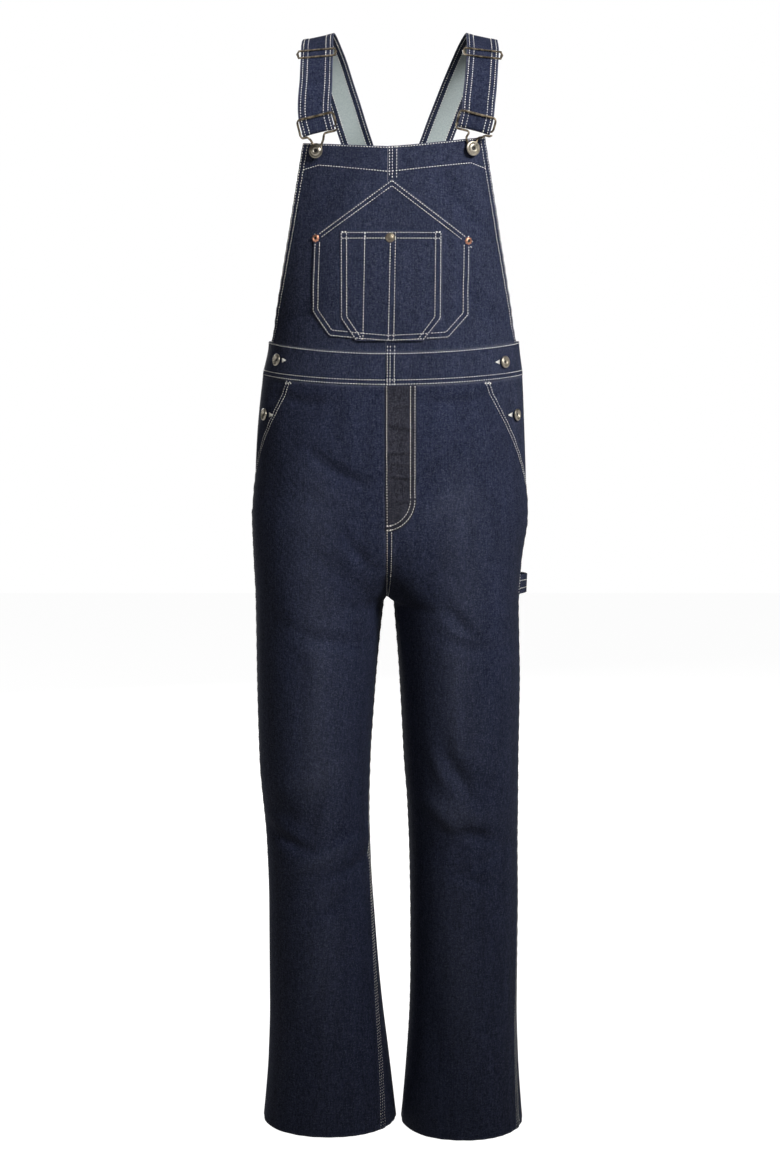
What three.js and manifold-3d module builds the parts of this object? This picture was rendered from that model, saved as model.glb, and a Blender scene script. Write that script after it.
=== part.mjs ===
// Denim dungarees, filled out as if worn, held up at the shoulders by their straps.
// Millimetres, +Z up. The origin lies midway between the two strap crests, the front faces -Y.
// "right" and "left" are the wearer's: the wearer's left is on the +X side.
import * as THREE from "three";
import { mergeVertices } from "three/addons/utils/BufferGeometryUtils.js";
import Module from "manifold-3d";

const wasm = await Module();
wasm.setup();

// Cloth
const WALL = 1.4; // twelve-ounce denim with its turned edges
const PATCH_WALL = 1.2; // patch pockets and the fly
const SEAM_GAP = 0.3; // between pieces that are sewn edge to edge
const HALF_GAP = SEAM_GAP / 2;
const PATCH_CLEAR = 0.6; // between a patch and the panel under it
const UNDER_CLEAR = 1; // between a panel and a facing that lies inside it
const FELL_HEIGHT = 0.8; // extra layers of the flat-felled centre seam
const FELL_WIDTH = 10.5; // of the bib's seam
const FELL_ENDS = -652; // just above the crotch

// Heights
const WAIST_TOP = -361;
const WAIST_SEAM = -402;
const WAIST_DIP = { top: 12, seam: 10 }; // how much lower the waistband sits at the front
const CROTCH = -672;
const RISE_CURVE = 130; // height over which the rise seams curve in to the crotch
const RISE_TOP = CROTCH + RISE_CURVE;
const HEM = { right: -1338, left: -1342 };
const BACK_BIB = {
  top: -194,
  right: { topX: -42, footX: -138 },
  left: { topX: 48, footX: 145 },
  hollow: 1.7, // how far its sides curve in
};

// The side seams lean on each leg, because twill skews as it is washed
const SKEW_FROM = -790;
const SKEW_AT_HEM = { right: -35, left: 25 };

// Sections of the body: the outline's x on either side, depths and how square a section is
const levels = [
  { z: -120, centre: -3.5, right: 149, left: 152, front: 104, back: 97, square: 2.3 },
  { z: -200, centre: -4, right: 149, left: 152, front: 107, back: 96, square: 2.3 },
  { z: -300, centre: -5, right: 148, left: 153, front: 109, back: 90, square: 2.3 },
  { z: -361, centre: -6, right: 148, left: 155, front: 108, back: 87, square: 2.3 },
  { z: -405, centre: -6.5, right: 156, left: 160, front: 109, back: 91, square: 2.3 },
  { z: -469, centre: -6.5, right: 163, left: 163, front: 113, back: 107, square: 2.3 },
  { z: -518, centre: -6.5, right: 166, left: 165, front: 115, back: 119, square: 2.3 },
  { z: -568, centre: -6, right: 170, left: 168, front: 115, back: 124, square: 2.3 },
  { z: -629, centre: -5.5, right: 168, left: 160, front: 110, back: 116, square: 2.25 },
  { z: -679, centre: -5, right: 166, left: 157, front: 104, back: 104, square: 2.2 },
  { z: -779, centre: -5, right: 165, left: 159, front: 98, back: 93, square: 2.15 },
  { z: -880, centre: -5, right: 163, left: 158, front: 90, back: 83, square: 2.15 },
  { z: -982, centre: -5, right: 155, left: 158, front: 83, back: 76, square: 2.15 },
  { z: -1059, centre: -5, right: 153, left: 159, front: 80, back: 74, square: 2.15 },
  { z: -1189, centre: -5, right: 153, left: 159, front: 80, back: 76, square: 2.15 },
  { z: -1255, centre: -5, right: 155, left: 161, front: 81, back: 79, square: 2.15 },
  { z: -1342, centre: -5, right: 162, left: 167, front: 82, back: 82, square: 2.15 },
];

// The x of each leg's inner outline, from the crotch down
const inseams = [
  { z: -672, right: -5.15, left: -4.85 },
  { z: -679, right: -9, left: 3.5 },
  { z: -704, right: -12.5, left: 6 },
  { z: -754, right: -17.5, left: 10 },
  { z: -804, right: -21.5, left: 13 },
  { z: -880, right: -26, left: 17 },
  { z: -931, right: -27, left: 21 },
  { z: -1008, right: -25, left: 24 },
  { z: -1085, right: -20, left: 25 },
  { z: -1137, right: -16, left: 25 },
  { z: -1189, right: -11, left: 24 },
  { z: -1255, right: -3, left: 20 },
  { z: -1342, right: 7, left: 13 },
];

// The largest folds: middle, half length and half width, lean from level in degrees, and height
const folds = [
  { name: "right hip drag", face: "front", x: -92, z: -446, long: 40, wide: 16, lean: -8, high: -2 },
  { name: "left hip drag", face: "front", x: 84, z: -444, long: 40, wide: 16, lean: 7, high: -2.2 },
  { name: "right groin", face: "front", x: -78, z: -534, long: 44, wide: 17, lean: -24, high: -2.6 },
  { name: "left groin", face: "front", x: 88, z: -526, long: 44, wide: 17, lean: 20, high: -2.6 },
  { name: "right fork", face: "front", x: -56, z: -640, long: 40, wide: 16, lean: -42, high: -3 },
  { name: "left fork", face: "front", x: 56, z: -636, long: 44, wide: 17, lean: 40, high: -3.4 },
  { name: "right thigh", face: "front", x: -116, z: -742, long: 62, wide: 20, lean: -66, high: -2.6 },
  { name: "left thigh", face: "front", x: 110, z: -752, long: 62, wide: 20, lean: 66, high: -2.6 },
  { name: "right knee upper", face: "front", x: -92, z: -886, long: 44, wide: 17, lean: 24, high: 2.6 },
  { name: "right knee outer", face: "front", x: -122, z: -938, long: 36, wide: 17, lean: -34, high: -3.8 },
  { name: "right knee inner", face: "front", x: -62, z: -968, long: 32, wide: 16, lean: 22, high: -2.8 },
  { name: "left knee upper", face: "front", x: 92, z: -888, long: 42, wide: 16, lean: -32, high: -3.4 },
  { name: "left knee lower", face: "front", x: 84, z: -972, long: 46, wide: 17, lean: 15, high: -3.6 },
  { name: "left knee ridge", face: "front", x: 100, z: -930, long: 40, wide: 16, lean: -8, high: 2.6 },
  { name: "right shin", face: "front", x: -86, z: -1120, long: 100, wide: 24, lean: 85, high: 2.6 },
  { name: "left shin", face: "front", x: 84, z: -1130, long: 105, wide: 24, lean: 96, high: 2.6 },
  { name: "right seat", face: "back", x: -74, z: -628, long: 48, wide: 18, lean: 26, high: -4 },
  { name: "left seat", face: "back", x: 66, z: -634, long: 48, wide: 18, lean: -26, high: -4 },
  { name: "right under seat", face: "back", x: -96, z: -706, long: 44, wide: 18, lean: 14, high: -3.4 },
  { name: "left under seat", face: "back", x: 90, z: -712, long: 44, wide: 18, lean: -12, high: -3.4 },
  { name: "right knee back upper", face: "back", x: -92, z: -920, long: 46, wide: 16, lean: -12, high: -4.2 },
  { name: "right knee back lower", face: "back", x: -84, z: -986, long: 42, wide: 16, lean: 14, high: -4 },
  { name: "left knee back upper", face: "back", x: 94, z: -926, long: 46, wide: 16, lean: 12, high: -4.2 },
  { name: "left knee back lower", face: "back", x: 88, z: -994, long: 42, wide: 16, lean: -15, high: -4 },
  { name: "back waist right", face: "back", x: -70, z: -458, long: 44, wide: 16, lean: -14, high: -2.6 },
  { name: "back waist left", face: "back", x: 64, z: -454, long: 44, wide: 16, lean: 14, high: -2.6 },
];
const FOLD_FADE = 26; // folds die out this near the centre seams

// Straps, from the back bib over the shoulder to the top of the buckle's frame
const STRAP = { width: 38, thick: 2, rows: 30, fold: 6, columns: 3, tail: 3.4 };
const TAIL_ROWS = [0.08, 0.2, 0.35, 0.5, 0.66, 0.83, 1]; // of the strap's inner layer
const strapStations = {
  right: [
    { x: -19, y: 95.5, z: -193.7, turn: 0 },
    { x: -31, y: 96, z: -152, turn: 0 },
    { x: -43, y: 91, z: -115, turn: 0 },
    { x: -59, y: 74, z: -66, turn: 0 },
    { x: -73, y: 48, z: -26, turn: 0 },
    { x: -85, y: 4, z: 0, turn: 0 },
    { x: -87, y: -36, z: -12, turn: 0 },
    { x: -87, y: -60, z: -30, turn: 0 },
    { x: -87.5, y: -79, z: -58, turn: 6 },
    { x: -88.6, y: -92, z: -84, turn: 8 },
    { x: -88, y: -97, z: -102, turn: 0 },
    { x: -84.5, y: -99.5, z: -117, turn: 0 },
  ],
  left: [
    { x: 24, y: 95.5, z: -193.7, turn: 0 },
    { x: 40, y: 96, z: -152, turn: 0 },
    { x: 56, y: 91, z: -115, turn: 0 },
    { x: 75, y: 74, z: -66, turn: 0 },
    { x: 92, y: 48, z: -26, turn: 0 },
    { x: 107, y: 4, z: 0, turn: 0 },
    { x: 108, y: -36, z: -12, turn: 0 },
    { x: 107, y: -60, z: -30, turn: 0 },
    { x: 104.5, y: -79, z: -58, turn: 0 },
    { x: 102, y: -91, z: -83, turn: 0 },
    { x: 100.6, y: -95.5, z: -100, turn: 0 },
    { x: 97, y: -98, z: -114.5, turn: 0 },
  ],
};
const SHOULDER_LEAN = 0.22; // the straps slope outwards at the crest
const STRAP_LEAN = 0.06; // and hardly lower down
const LEAN_REACH = 80;
const LAYER_STEP = STRAP.thick + 0.5; // between the two layers of the front strap

// Buckles: wire sizes, and where the hook's legs and loop stand across the frame, outwards
const WIRE = { hook: 1.2, slider: 1 };
const BEND = WIRE.hook + SEAM_GAP + STRAP.thick / 2; // strap's middle round the buckle's bar
const HOOK_FRAME = { half: 21.6, height: 15, below: WIRE.hook * 2 + STRAP.thick + 3 * SEAM_GAP };
const hookLegs = {
  right: { outer: 12.8, inner: -5.1 },
  left: { outer: 12.9, inner: -4.9 },
};
const LOOP_RADIUS = 5;
const SLIDER = { z: -27, half: 21.8, point: 24, height: 15, bar: 2.2, thick: 1.8 };

// Buttons and studs: places on the front, and sizes
const BIB_BUTTON = { radius: 8.8, stem: 2.6, stand: 4.8, thick: 3.4 };
const SIDE_BUTTON = { radius: 7.2, stem: 2.6, stand: 1.3, thick: 2.8 };
const bibButtons = { right: { x: -85, z: -141 }, left: { x: 93, z: -138 } };
const waistButtons = { right: { x: -134, z: -383 }, left: { x: 133.5, z: -385 } };
const hipButtons = { right: { x: -151, z: -448 }, left: { x: 150, z: -448 } };
const HIP_STAND = 0.6; // the facing tilts under a hip button's stem
const SNAP = { x: -1, z: -241, radius: 5.6, thick: 2.2 };
const RIVET = { radius: 4.4, notch: 3.7, points: 12, thick: 1 };
const ROUND = 12; // sides of a small round piece

// Bib and its pockets: the x of edges and the z of corners
const bibEdge = { right: { top: -103, bottom: -144 }, left: { top: 110, bottom: 151 } };
const bibTop = { centre: -136, right: -131, left: -123.5 };
const FELL_SHOWS = -168; // the bib's felled seam runs down to the pocket
const housePocket = {
  apex: { x: 1, z: -173.5 },
  right: { eaveX: -89.5, eaveZ: -239, sideX: -93, sideZ: -325, footX: -72, footZ: -355 },
  left: { eaveX: 92, eaveZ: -242, sideX: 91, sideZ: -330, footX: 67, footZ: -357 },
  bottom: -361,
};
const penPocket = { right: -59, left: 59, top: -233, sideZ: -334, footRight: -41, footLeft: 38 };
const PEN_INSET = 0.8; // the pen pocket stops this far above the other's lower edge

// Slanted pocket mouths: the x at the waist seam, and the z where they run into the side seam
const mouths = {
  right: { x: -124, z: -548 },
  left: { x: 117, z: -560 },
};
const MOUTH_CURVE = 1.25;
const MOUTH_ROWS = [0, 0.14, 0.28, 0.42, 0.56, 0.7, 0.84, 0.93, 1];
const FACING_UNDER = 14; // how far a facing runs in under the front
const FACING_BLEND = { near: 9, far: 26 };
const FACING_COLUMNS = [0, 0.3, 0.55, 0.75, 0.9, 1, 1.1]; // past 1 it lies under the front
const FACING_FOOT = 5; // and how far below the mouth

const FLY = { reach: 36, straight: -545, foot: -583 };
const HAMMER_LOOP = { top: -649, height: 24, from: 2, to: 44, stand: 16, wall: 1.6 };

const sides = { right: -1, left: 1 };
const rad = THREE.MathUtils.degToRad;
const clamp = THREE.MathUtils.clamp;
const lerp = THREE.MathUtils.lerp;
const smoothstep = THREE.MathUtils.smoothstep;
const nameOf = (side) => (side < 0 ? "right" : "left");
const steps = (count) => Array.from({ length: count + 1 }, (_, i) => i / count);

// Grid lines of the panels, as shares of a panel's width from the centre and of its height
// from the top. They lie close together at the edge of the felled seam and where cloth turns fast.
const BIB_COLUMNS = { right: steps(6), left: [0, 0.045, 0.09, 0.098, 0.25, 0.42, 0.6, 0.8, 1] };
const BIB_ROWS = [0, 0.08, 0.15, 0.17, 0.28, 0.4, 0.52, 0.64, 0.76, 0.88, 1];
const BAND_FELL_AT = 0.957;
const BAND_COLUMNS = { right: steps(9), left: [...steps(7).map((t) => t * 0.84), 0.955, 0.96, 1] };
const LEG_FELL_AT = 0.955;
const LEG_COLUMNS = {
  right: steps(12),
  left: [...steps(10).map((t) => t * 0.93), LEG_FELL_AT, LEG_FELL_AT + 0.004, 1],
};
const RISE_ROWS = [0.3, 0.46, 0.6, 0.72, 0.82, 0.9, 0.955, 0.988]; // down the rise curve
const FORK_DROPS = [0, 7, 20, 42]; // below the crotch
const legStretches = [
  { name: "thigh", from: -748, to: -860, rows: 4 },
  { name: "knee", from: -884, to: -1004, rows: 6 },
  { name: "shin", from: -1042, to: -1302, rows: 7 },
];
const FLY_CURVE_ROWS = [0.25, 0.5, 0.7, 0.85, 0.95, 0.99]; // down the fly's quarter curve
const HOUSE_COLUMNS = [-1, -0.89, -0.78, -0.63, -0.46, -0.24, 0, 0.24, 0.44, 0.6, 0.73, 0.86, 1];
const PEN_COLUMNS = [-1, -0.695, -0.35, 0, 0.32, 0.644, 1];

const materials = {
  denim: { color: 0x252b47, roughness: 0.9, metalness: 0 },
  brass: { color: 0x8c7a58, roughness: 0.4, metalness: 1 },
  steel: { color: 0xb9b5aa, roughness: 0.35, metalness: 1 },
  copper: { color: 0xb4663c, roughness: 0.35, metalness: 1 },
};

const group = new THREE.Group();

function add(name, geometry, finish) {
  const mesh = new THREE.Mesh(geometry, new THREE.MeshStandardMaterial(materials[finish]));
  mesh.name = name;
  group.add(mesh);
  return mesh;
}

// A smooth curve down one column of a table, that never overshoots its rows
function column(rows, key) {
  const down = rows.map((row) => -row.z);
  const value = rows.map((row) => row[key]);
  const step = down.slice(1).map((d, i) => d - down[i]);
  const rise = step.map((h, i) => (value[i + 1] - value[i]) / h);
  const slope = value.map((_, i) => {
    const before = rise[Math.max(i - 1, 0)];
    const after = rise[Math.min(i, rise.length - 1)];
    return before * after <= 0 ? 0 : 2 / (1 / before + 1 / after);
  });
  return (z) => {
    const depth = clamp(-z, down[0], down[down.length - 1]);
    let i = 0;
    while (i < step.length - 1 && depth > down[i + 1]) i += 1;
    const h = step[i];
    const t = (depth - down[i]) / h;
    const near = (1 + 2 * t) * (1 - t) ** 2 * value[i] + t * (1 - t) ** 2 * h * slope[i];
    const far = t * t * (3 - 2 * t) * value[i + 1] + t * t * (t - 1) * h * slope[i + 1];
    return near + far;
  };
}

const level = Object.fromEntries(
  ["centre", "right", "left", "front", "back", "square"].map((key) => [key, column(levels, key)]),
);
const inseam = { right: column(inseams, "right"), left: column(inseams, "left") };

// One side's section: a squared ellipse about its own middle. Above the crotch it runs
// past the centre plane by its share k, which grows from 0 at the hip to 1 at the crotch.
function section(side, z, gap = HALF_GAP) {
  const centre = level.centre(z);
  const outline = side * (side * level[nameOf(side)](z) - centre) - gap;
  const shape = { centre, front: level.front(z), back: level.back(z), n: level.square(z) };
  if (z > CROTCH) {
    const k = z < RISE_TOP ? ((RISE_TOP - z) / RISE_CURVE) ** 1.5 : 0;
    return { ...shape, k, middle: (k * outline) / (1 + k), half: outline / (1 + k) };
  }
  const inner = side * (inseam[nameOf(side)](z) - centre) - gap;
  return { ...shape, k: 1, middle: (outline + inner) / 2, half: (outline - inner) / 2 };
}

// The smooth body without folds. The angle is 0 at the side, grows over the front
// and is negative over the back.
function bare(side, angle, z, gap = HALF_GAP) {
  const s = section(side, z, gap);
  const c = Math.cos(angle);
  const f = Math.sin(angle);
  const r = (Math.abs(c) ** s.n + Math.abs(f) ** s.n) ** (-1 / s.n);
  const depth = f > 0 ? s.front : s.back;
  return new THREE.Vector3(s.centre + side * (gap + s.middle + s.half * r * c), -depth * r * f, z);
}

function normalAt(side, angle, z) {
  const turn = 0.004;
  const drop = 0.5;
  const around = bare(side, angle + turn, z).sub(bare(side, angle - turn, z));
  const down = bare(side, angle, z - drop).sub(bare(side, angle, z + drop));
  const normal = around.cross(down).normalize();
  return normal.dot(new THREE.Vector3(side * Math.cos(angle), -Math.sin(angle), 0)) < 0
    ? normal.negate()
    : normal;
}

// How far the folds move a point of the cloth
function foldAt(point, angle) {
  const face = Math.sin(angle) > 0 ? "front" : "back";
  const centre = Math.abs(point.x - level.centre(point.z));
  const fade = smoothstep(centre, 0, FOLD_FADE) * smoothstep(Math.abs(Math.sin(angle)), 0, 0.35);
  let move = 0;
  for (const fold of folds) {
    if (fold.face !== face) continue;
    const lean = rad(fold.lean);
    const dx = point.x - fold.x;
    const dz = point.z - fold.z;
    const along = (dx * Math.cos(lean) + dz * Math.sin(lean)) / fold.long;
    const across = (dz * Math.cos(lean) - dx * Math.sin(lean)) / fold.wide;
    move += fold.high * Math.exp(-(along ** 2) - across ** 2);
  }
  return move * fade;
}

// A point of the cloth's outer face, or moved off it along its normal
function skin(side, angle, z, offset = 0, gap = HALF_GAP) {
  const point = bare(side, angle, z, gap);
  return point.addScaledVector(normalAt(side, angle, z), offset + foldAt(point, angle));
}

// The angle at which the front, or the back, of a section reaches a distance from the centre
function angleAt(side, x, z, gap = HALF_GAP) {
  const s = section(side, z, gap);
  const q = clamp((Math.max(side * (x - s.centre) - gap, 0) - s.middle) / s.half, -1, 1);
  return Math.atan2((1 - Math.abs(q) ** s.n) ** (1 / s.n), q);
}

// The angle at which a section meets the centre plane, or the inseam below the crotch
function centreAngle(side, z, depth) {
  const s = section(side, z);
  return Math.min(Math.atan2((1 - s.k ** s.n) ** (1 / s.n), -s.k), Math.PI - HALF_GAP / depth);
}

function skewAt(side, z) {
  const hem = HEM[nameOf(side)];
  return rad(SKEW_AT_HEM[nameOf(side)]) * clamp((SKEW_FROM - z) / (SKEW_FROM - hem), 0, 1) ** 1.3;
}

const waistTop = (angle) => WAIST_TOP - WAIST_DIP.top * Math.max(0, Math.sin(angle)) ** 2;
const waistSeam = (angle) => WAIST_SEAM - WAIST_DIP.seam * Math.max(0, Math.sin(angle)) ** 2;

// A closed solid between two matching grids of points, given row by row
function solidBetween(outer, inner) {
  const rows = outer.length;
  const columns = outer[0].length;
  const at = (layer, i, j) => (layer * rows + i) * columns + j;
  const faces = [];
  const quad = (a, b, c, d) => faces.push(a, b, c, a, c, d);
  for (let i = 0; i < rows - 1; i += 1) {
    for (let j = 0; j < columns - 1; j += 1) {
      quad(at(0, i, j), at(0, i + 1, j), at(0, i + 1, j + 1), at(0, i, j + 1));
      quad(at(1, i, j), at(1, i, j + 1), at(1, i + 1, j + 1), at(1, i + 1, j));
    }
  }
  for (let i = 0; i < rows - 1; i += 1) {
    quad(at(0, i, 0), at(1, i, 0), at(1, i + 1, 0), at(0, i + 1, 0));
    quad(at(0, i, columns - 1), at(0, i + 1, columns - 1), at(1, i + 1, columns - 1), at(1, i, columns - 1));
  }
  for (let j = 0; j < columns - 1; j += 1) {
    quad(at(0, 0, j), at(0, 0, j + 1), at(1, 0, j + 1), at(1, 0, j));
    quad(at(0, rows - 1, j), at(1, rows - 1, j), at(1, rows - 1, j + 1), at(0, rows - 1, j + 1));
  }
  const points = [...outer.flat(), ...inner.flat()];
  let volume = 0;
  for (let f = 0; f < faces.length; f += 3) {
    const [a, b, c] = [points[faces[f]], points[faces[f + 1]], points[faces[f + 2]]];
    volume += a.dot(new THREE.Vector3().crossVectors(b, c));
  }
  if (volume < 0) faces.reverse();
  const geometry = new THREE.BufferGeometry().setFromPoints(points);
  geometry.setIndex(faces);
  geometry.computeVertexNormals();
  return geometry;
}

// A wall of cloth over the body. place(u, v) gives a grid point's side, angle and height,
// and may lift it off the body, raise its outer face or close the gap at the centre.
function bodyWall(across, down, place, wall = WALL, base = -wall) {
  const outer = [];
  const inner = [];
  for (const v of down) {
    const spots = across.map((u) => ({ lift: 0, raise: 0, gap: HALF_GAP, ...place(u, v) }));
    outer.push(spots.map((s) => skin(s.side, s.angle, s.z, base + wall + s.lift + s.raise, s.gap)));
    inner.push(spots.map((s) => skin(s.side, s.angle, s.z, base + s.lift, s.gap)));
  }
  return solidBetween(outer, inner);
}

// Bib: two halves with a flat-felled centre seam on the left one
function bibHalf(side) {
  const name = nameOf(side);
  const edge = bibEdge[name];
  return bodyWall(BIB_COLUMNS[name], BIB_ROWS, (u, v) => {
    const nominal = lerp(bibTop.centre, WAIST_TOP, v);
    const centre = level.centre(nominal);
    const x = lerp(centre, lerp(edge.top, edge.bottom, v), u);
    const angle = angleAt(side, x, nominal);
    const top = lerp(bibTop.centre, bibTop[name], u ** 1.3);
    const z = lerp(top, waistTop(angle) + HALF_GAP, v);
    const onFell = side > 0 && Math.abs(x - centre) < FELL_WIDTH && z > FELL_SHOWS;
    return { side, angle: angleAt(side, x, z), z, raise: onFell ? FELL_HEIGHT : 0 };
  });
}

function waistbandFront(side) {
  return bodyWall(BAND_COLUMNS[nameOf(side)], steps(2), (u, v) => {
    const start = HALF_GAP / level.front(WAIST_TOP);
    const angle = lerp(start, Math.PI / 2, u);
    const z = lerp(waistTop(angle), waistSeam(angle), v) + (0.5 - v) * -SEAM_GAP;
    const raise = side > 0 && u > BAND_FELL_AT ? FELL_HEIGHT : 0;
    return { side, angle, z, raise };
  });
}

function waistbandBack() {
  const across = steps(20).map((t) => 2 * t - 1);
  return bodyWall(across, steps(2), (w, v) => {
    const side = w < 0 ? -1 : 1;
    const start = HALF_GAP / level.back(WAIST_TOP);
    const angle = -lerp(Math.PI / 2, start, Math.abs(w));
    const z = lerp(WAIST_TOP, WAIST_SEAM, v) + (0.5 - v) * -SEAM_GAP;
    return { side, angle, z, gap: 0 };
  });
}

// Back bib: a panel that narrows in two hollow curves to where the straps are sewn in
function backBib() {
  const across = steps(12).map((t) => 2 * t - 1);
  return bodyWall(across, steps(7), (w, v) => {
    const z = lerp(BACK_BIB.top, WAIST_TOP + HALF_GAP, v);
    const side = w < 0 ? -1 : 1;
    const { topX, footX } = BACK_BIB[nameOf(side)];
    const x = lerp(level.centre(z), lerp(topX, footX, v ** BACK_BIB.hollow), Math.abs(w));
    return { side, angle: -angleAt(side, x, z, 0), z, gap: 0 };
  });
}

// Rows of the leg panels: one where the mouth ends, and close together round the crotch
// curve, where it turns fastest
function legRows(side) {
  const hip = MOUTH_ROWS.map((t) => lerp(WAIST_SEAM, mouths[nameOf(side)].z, t));
  const rise = RISE_ROWS.map((t) => RISE_TOP - RISE_CURVE * t);
  const fork = FORK_DROPS.map((drop) => CROTCH - drop);
  const leg = legStretches.flatMap((s) => steps(s.rows - 1).map((t) => lerp(s.from, s.to, t)));
  return [...hip, ...rise, ...fork, ...leg, HEM[nameOf(side)]];
}

function mouthAngle(side, z) {
  const mouth = mouths[nameOf(side)];
  const t = clamp((WAIST_SEAM - z) / (WAIST_SEAM - mouth.z), 0, 1);
  const start = HALF_GAP / level.front(z);
  return lerp(angleAt(side, mouth.x, WAIST_SEAM), start, t ** MOUTH_CURVE);
}

function frontLeg(side) {
  return bodyWall(LEG_COLUMNS[nameOf(side)], legRows(side), (u, nominal) => {
    const depth = level.front(nominal);
    const skew = skewAt(side, nominal);
    const angle = lerp(mouthAngle(side, nominal), centreAngle(side, nominal, depth), u) + skew;
    const fade = clamp((nominal - RISE_TOP) / (WAIST_SEAM - RISE_TOP), 0, 1);
    const z = nominal + (waistSeam(angle) - HALF_GAP - WAIST_SEAM) * fade;
    const raise = side > 0 && u > LEG_FELL_AT && nominal > FELL_ENDS ? FELL_HEIGHT : 0;
    return { side, angle, z, raise };
  });
}

function backLeg(side) {
  return bodyWall(steps(12), legRows(side), (u, nominal) => {
    const depth = level.back(nominal);
    const skew = skewAt(side, nominal);
    const angle = skew - lerp(HALF_GAP / depth, centreAngle(side, nominal, depth), u);
    const fade = clamp((nominal - RISE_TOP) / (WAIST_SEAM - RISE_TOP), 0, 1);
    return { side, angle, z: nominal - HALF_GAP * fade };
  });
}

// How far the facing lies inside the body's face: under the front's edge, and out to the side
function facingSink(side, angle, z) {
  const depth = level.front(z);
  const out = (mouthAngle(side, z) - angle) * depth;
  return (WALL + UNDER_CLEAR) * (1 - smoothstep(out, FACING_BLEND.near, FACING_BLEND.far));
}

// The facing that shows between the slanted mouth and the side, and runs in under the front
function sideFacing(side) {
  const foot = 1 + FACING_FOOT / (WAIST_SEAM - mouths[nameOf(side)].z);
  return bodyWall(FACING_COLUMNS, [...MOUTH_ROWS, foot], (u, v) => {
    const nominal = lerp(WAIST_SEAM, mouths[nameOf(side)].z, v);
    const depth = level.front(nominal);
    const shown = lerp(HALF_GAP / depth, mouthAngle(side, nominal), Math.min(u, 1));
    const angle = shown + (u > 1 ? FACING_UNDER / depth : 0);
    const fade = clamp((nominal - RISE_TOP) / (WAIST_SEAM - RISE_TOP), 0, 1);
    const z = nominal + (waistSeam(angle) - SEAM_GAP - WAIST_SEAM) * fade;
    return { side, angle, z, lift: -facingSink(side, angle, nominal) };
  });
}

// House-shaped bib pocket: columns between its leaning sides, from the roof line to its foot
function houseSpot(u, v) {
  const { apex, right, left, bottom } = housePocket;
  const half = u < 0 ? right : left;
  const t = Math.abs(u);
  const foot = Math.abs(half.footX - apex.x) / Math.abs(half.sideX - apex.x);
  const roof = lerp(apex.z, half.eaveZ, t);
  const sole = t < foot ? lerp(bottom, half.footZ, t / foot) : lerp(half.footZ, half.sideZ, (t - foot) / (1 - foot));
  const x = lerp(apex.x, lerp(half.eaveX, half.sideX, v), t);
  return { x, z: lerp(roof, sole, v) };
}

function penSpot(u, v) {
  const { right, left, top, sideZ, footRight, footLeft } = penPocket;
  const x = lerp(right, left, (u + 1) / 2);
  const footX = u < 0 ? footRight : footLeft;
  const edgeX = u < 0 ? right : left;
  const past = clamp((x - footX) / (edgeX - footX), 0, 1);
  const house = housePocket.bottom + PEN_INSET;
  return { x, z: lerp(top, lerp(house, sideZ, past), v) };
}

function frontPatch(across, down, spot, base) {
  return bodyWall(across, down, (u, v) => {
    const { x, z } = spot(u, v);
    const side = x < level.centre(z) ? -1 : 1;
    return { side, angle: angleAt(side, x, z, 0), z, gap: 0 };
  }, PATCH_WALL, base);
}

// Fly: a straight strip that ends in a quarter curve towards the centre seam
function fly() {
  const rows = steps(4).map((t) => lerp(WAIST_SEAM, FLY.straight, t));
  rows.push(...FLY_CURVE_ROWS.map((t) => lerp(FLY.straight, FLY.foot, t)));
  return bodyWall(steps(3), rows, (u, nominal) => {
    const past = clamp((FLY.straight - nominal) / (FLY.straight - FLY.foot), 0, 1);
    const reach = FLY.reach * Math.sqrt(1 - past ** 2);
    const angle = angleAt(1, level.centre(nominal) + HALF_GAP + lerp(0.4, reach, u), nominal);
    const fade = clamp((nominal - FLY.straight) / (WAIST_SEAM - FLY.straight), 0, 1);
    const z = nominal + (waistSeam(angle) - SEAM_GAP - WAIST_SEAM) * fade;
    return { side: 1, angle, z };
  }, PATCH_WALL, FELL_HEIGHT + PATCH_CLEAR);
}

// Hammer loop: a strip sewn flat at both ends that bows out behind the left side seam
function hammerLoop() {
  const { top, height, from, to, stand, wall } = HAMMER_LOOP;
  return bodyWall(steps(14), steps(2), (u, v) => {
    const bow = Math.sin(Math.PI * clamp((u - 0.1) / 0.8, 0, 1));
    return { side: 1, angle: -rad(lerp(from, to, u)), z: top - height * v, lift: stand * bow ** 1.4 };
  }, wall, PATCH_CLEAR);
}

// A strap's middle line, and its directions across, outwards and along at a share of its length
function strapPath(side) {
  const stations = strapStations[nameOf(side)];
  const points = stations.map((s) => new THREE.Vector3(s.x, s.y, s.z));
  const path = new THREE.CatmullRomCurve3(points, false, "centripetal");
  const at = (u) => {
    const place = path.getUtoTmapping(u) * (stations.length - 1);
    const i = Math.min(Math.floor(place), stations.length - 2);
    const turn = lerp(stations[i].turn, stations[i + 1].turn, place - i);
    const middle = path.getPointAt(u);
    const along = path.getTangentAt(u);
    const lean = lerp(SHOULDER_LEAN, STRAP_LEAN, clamp(Math.abs(middle.y) / LEAN_REACH, 0, 1));
    const out = new THREE.Vector3(side * lean + Math.sin(rad(turn)), along.z, -along.y).normalize();
    const across = new THREE.Vector3().crossVectors(out, along).normalize();
    out.crossVectors(along, across);
    return { middle, across, out, along };
  };
  let [high, low] = [0.5, 1];
  for (let i = 0; i < 30; i += 1) {
    const half = (high + low) / 2;
    const point = path.getPointAt(half);
    if (point.z > SLIDER.z || point.y > 0) high = half;
    else low = half;
  }
  return { at, length: path.getLength(), sliderAt: low };
}

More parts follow.
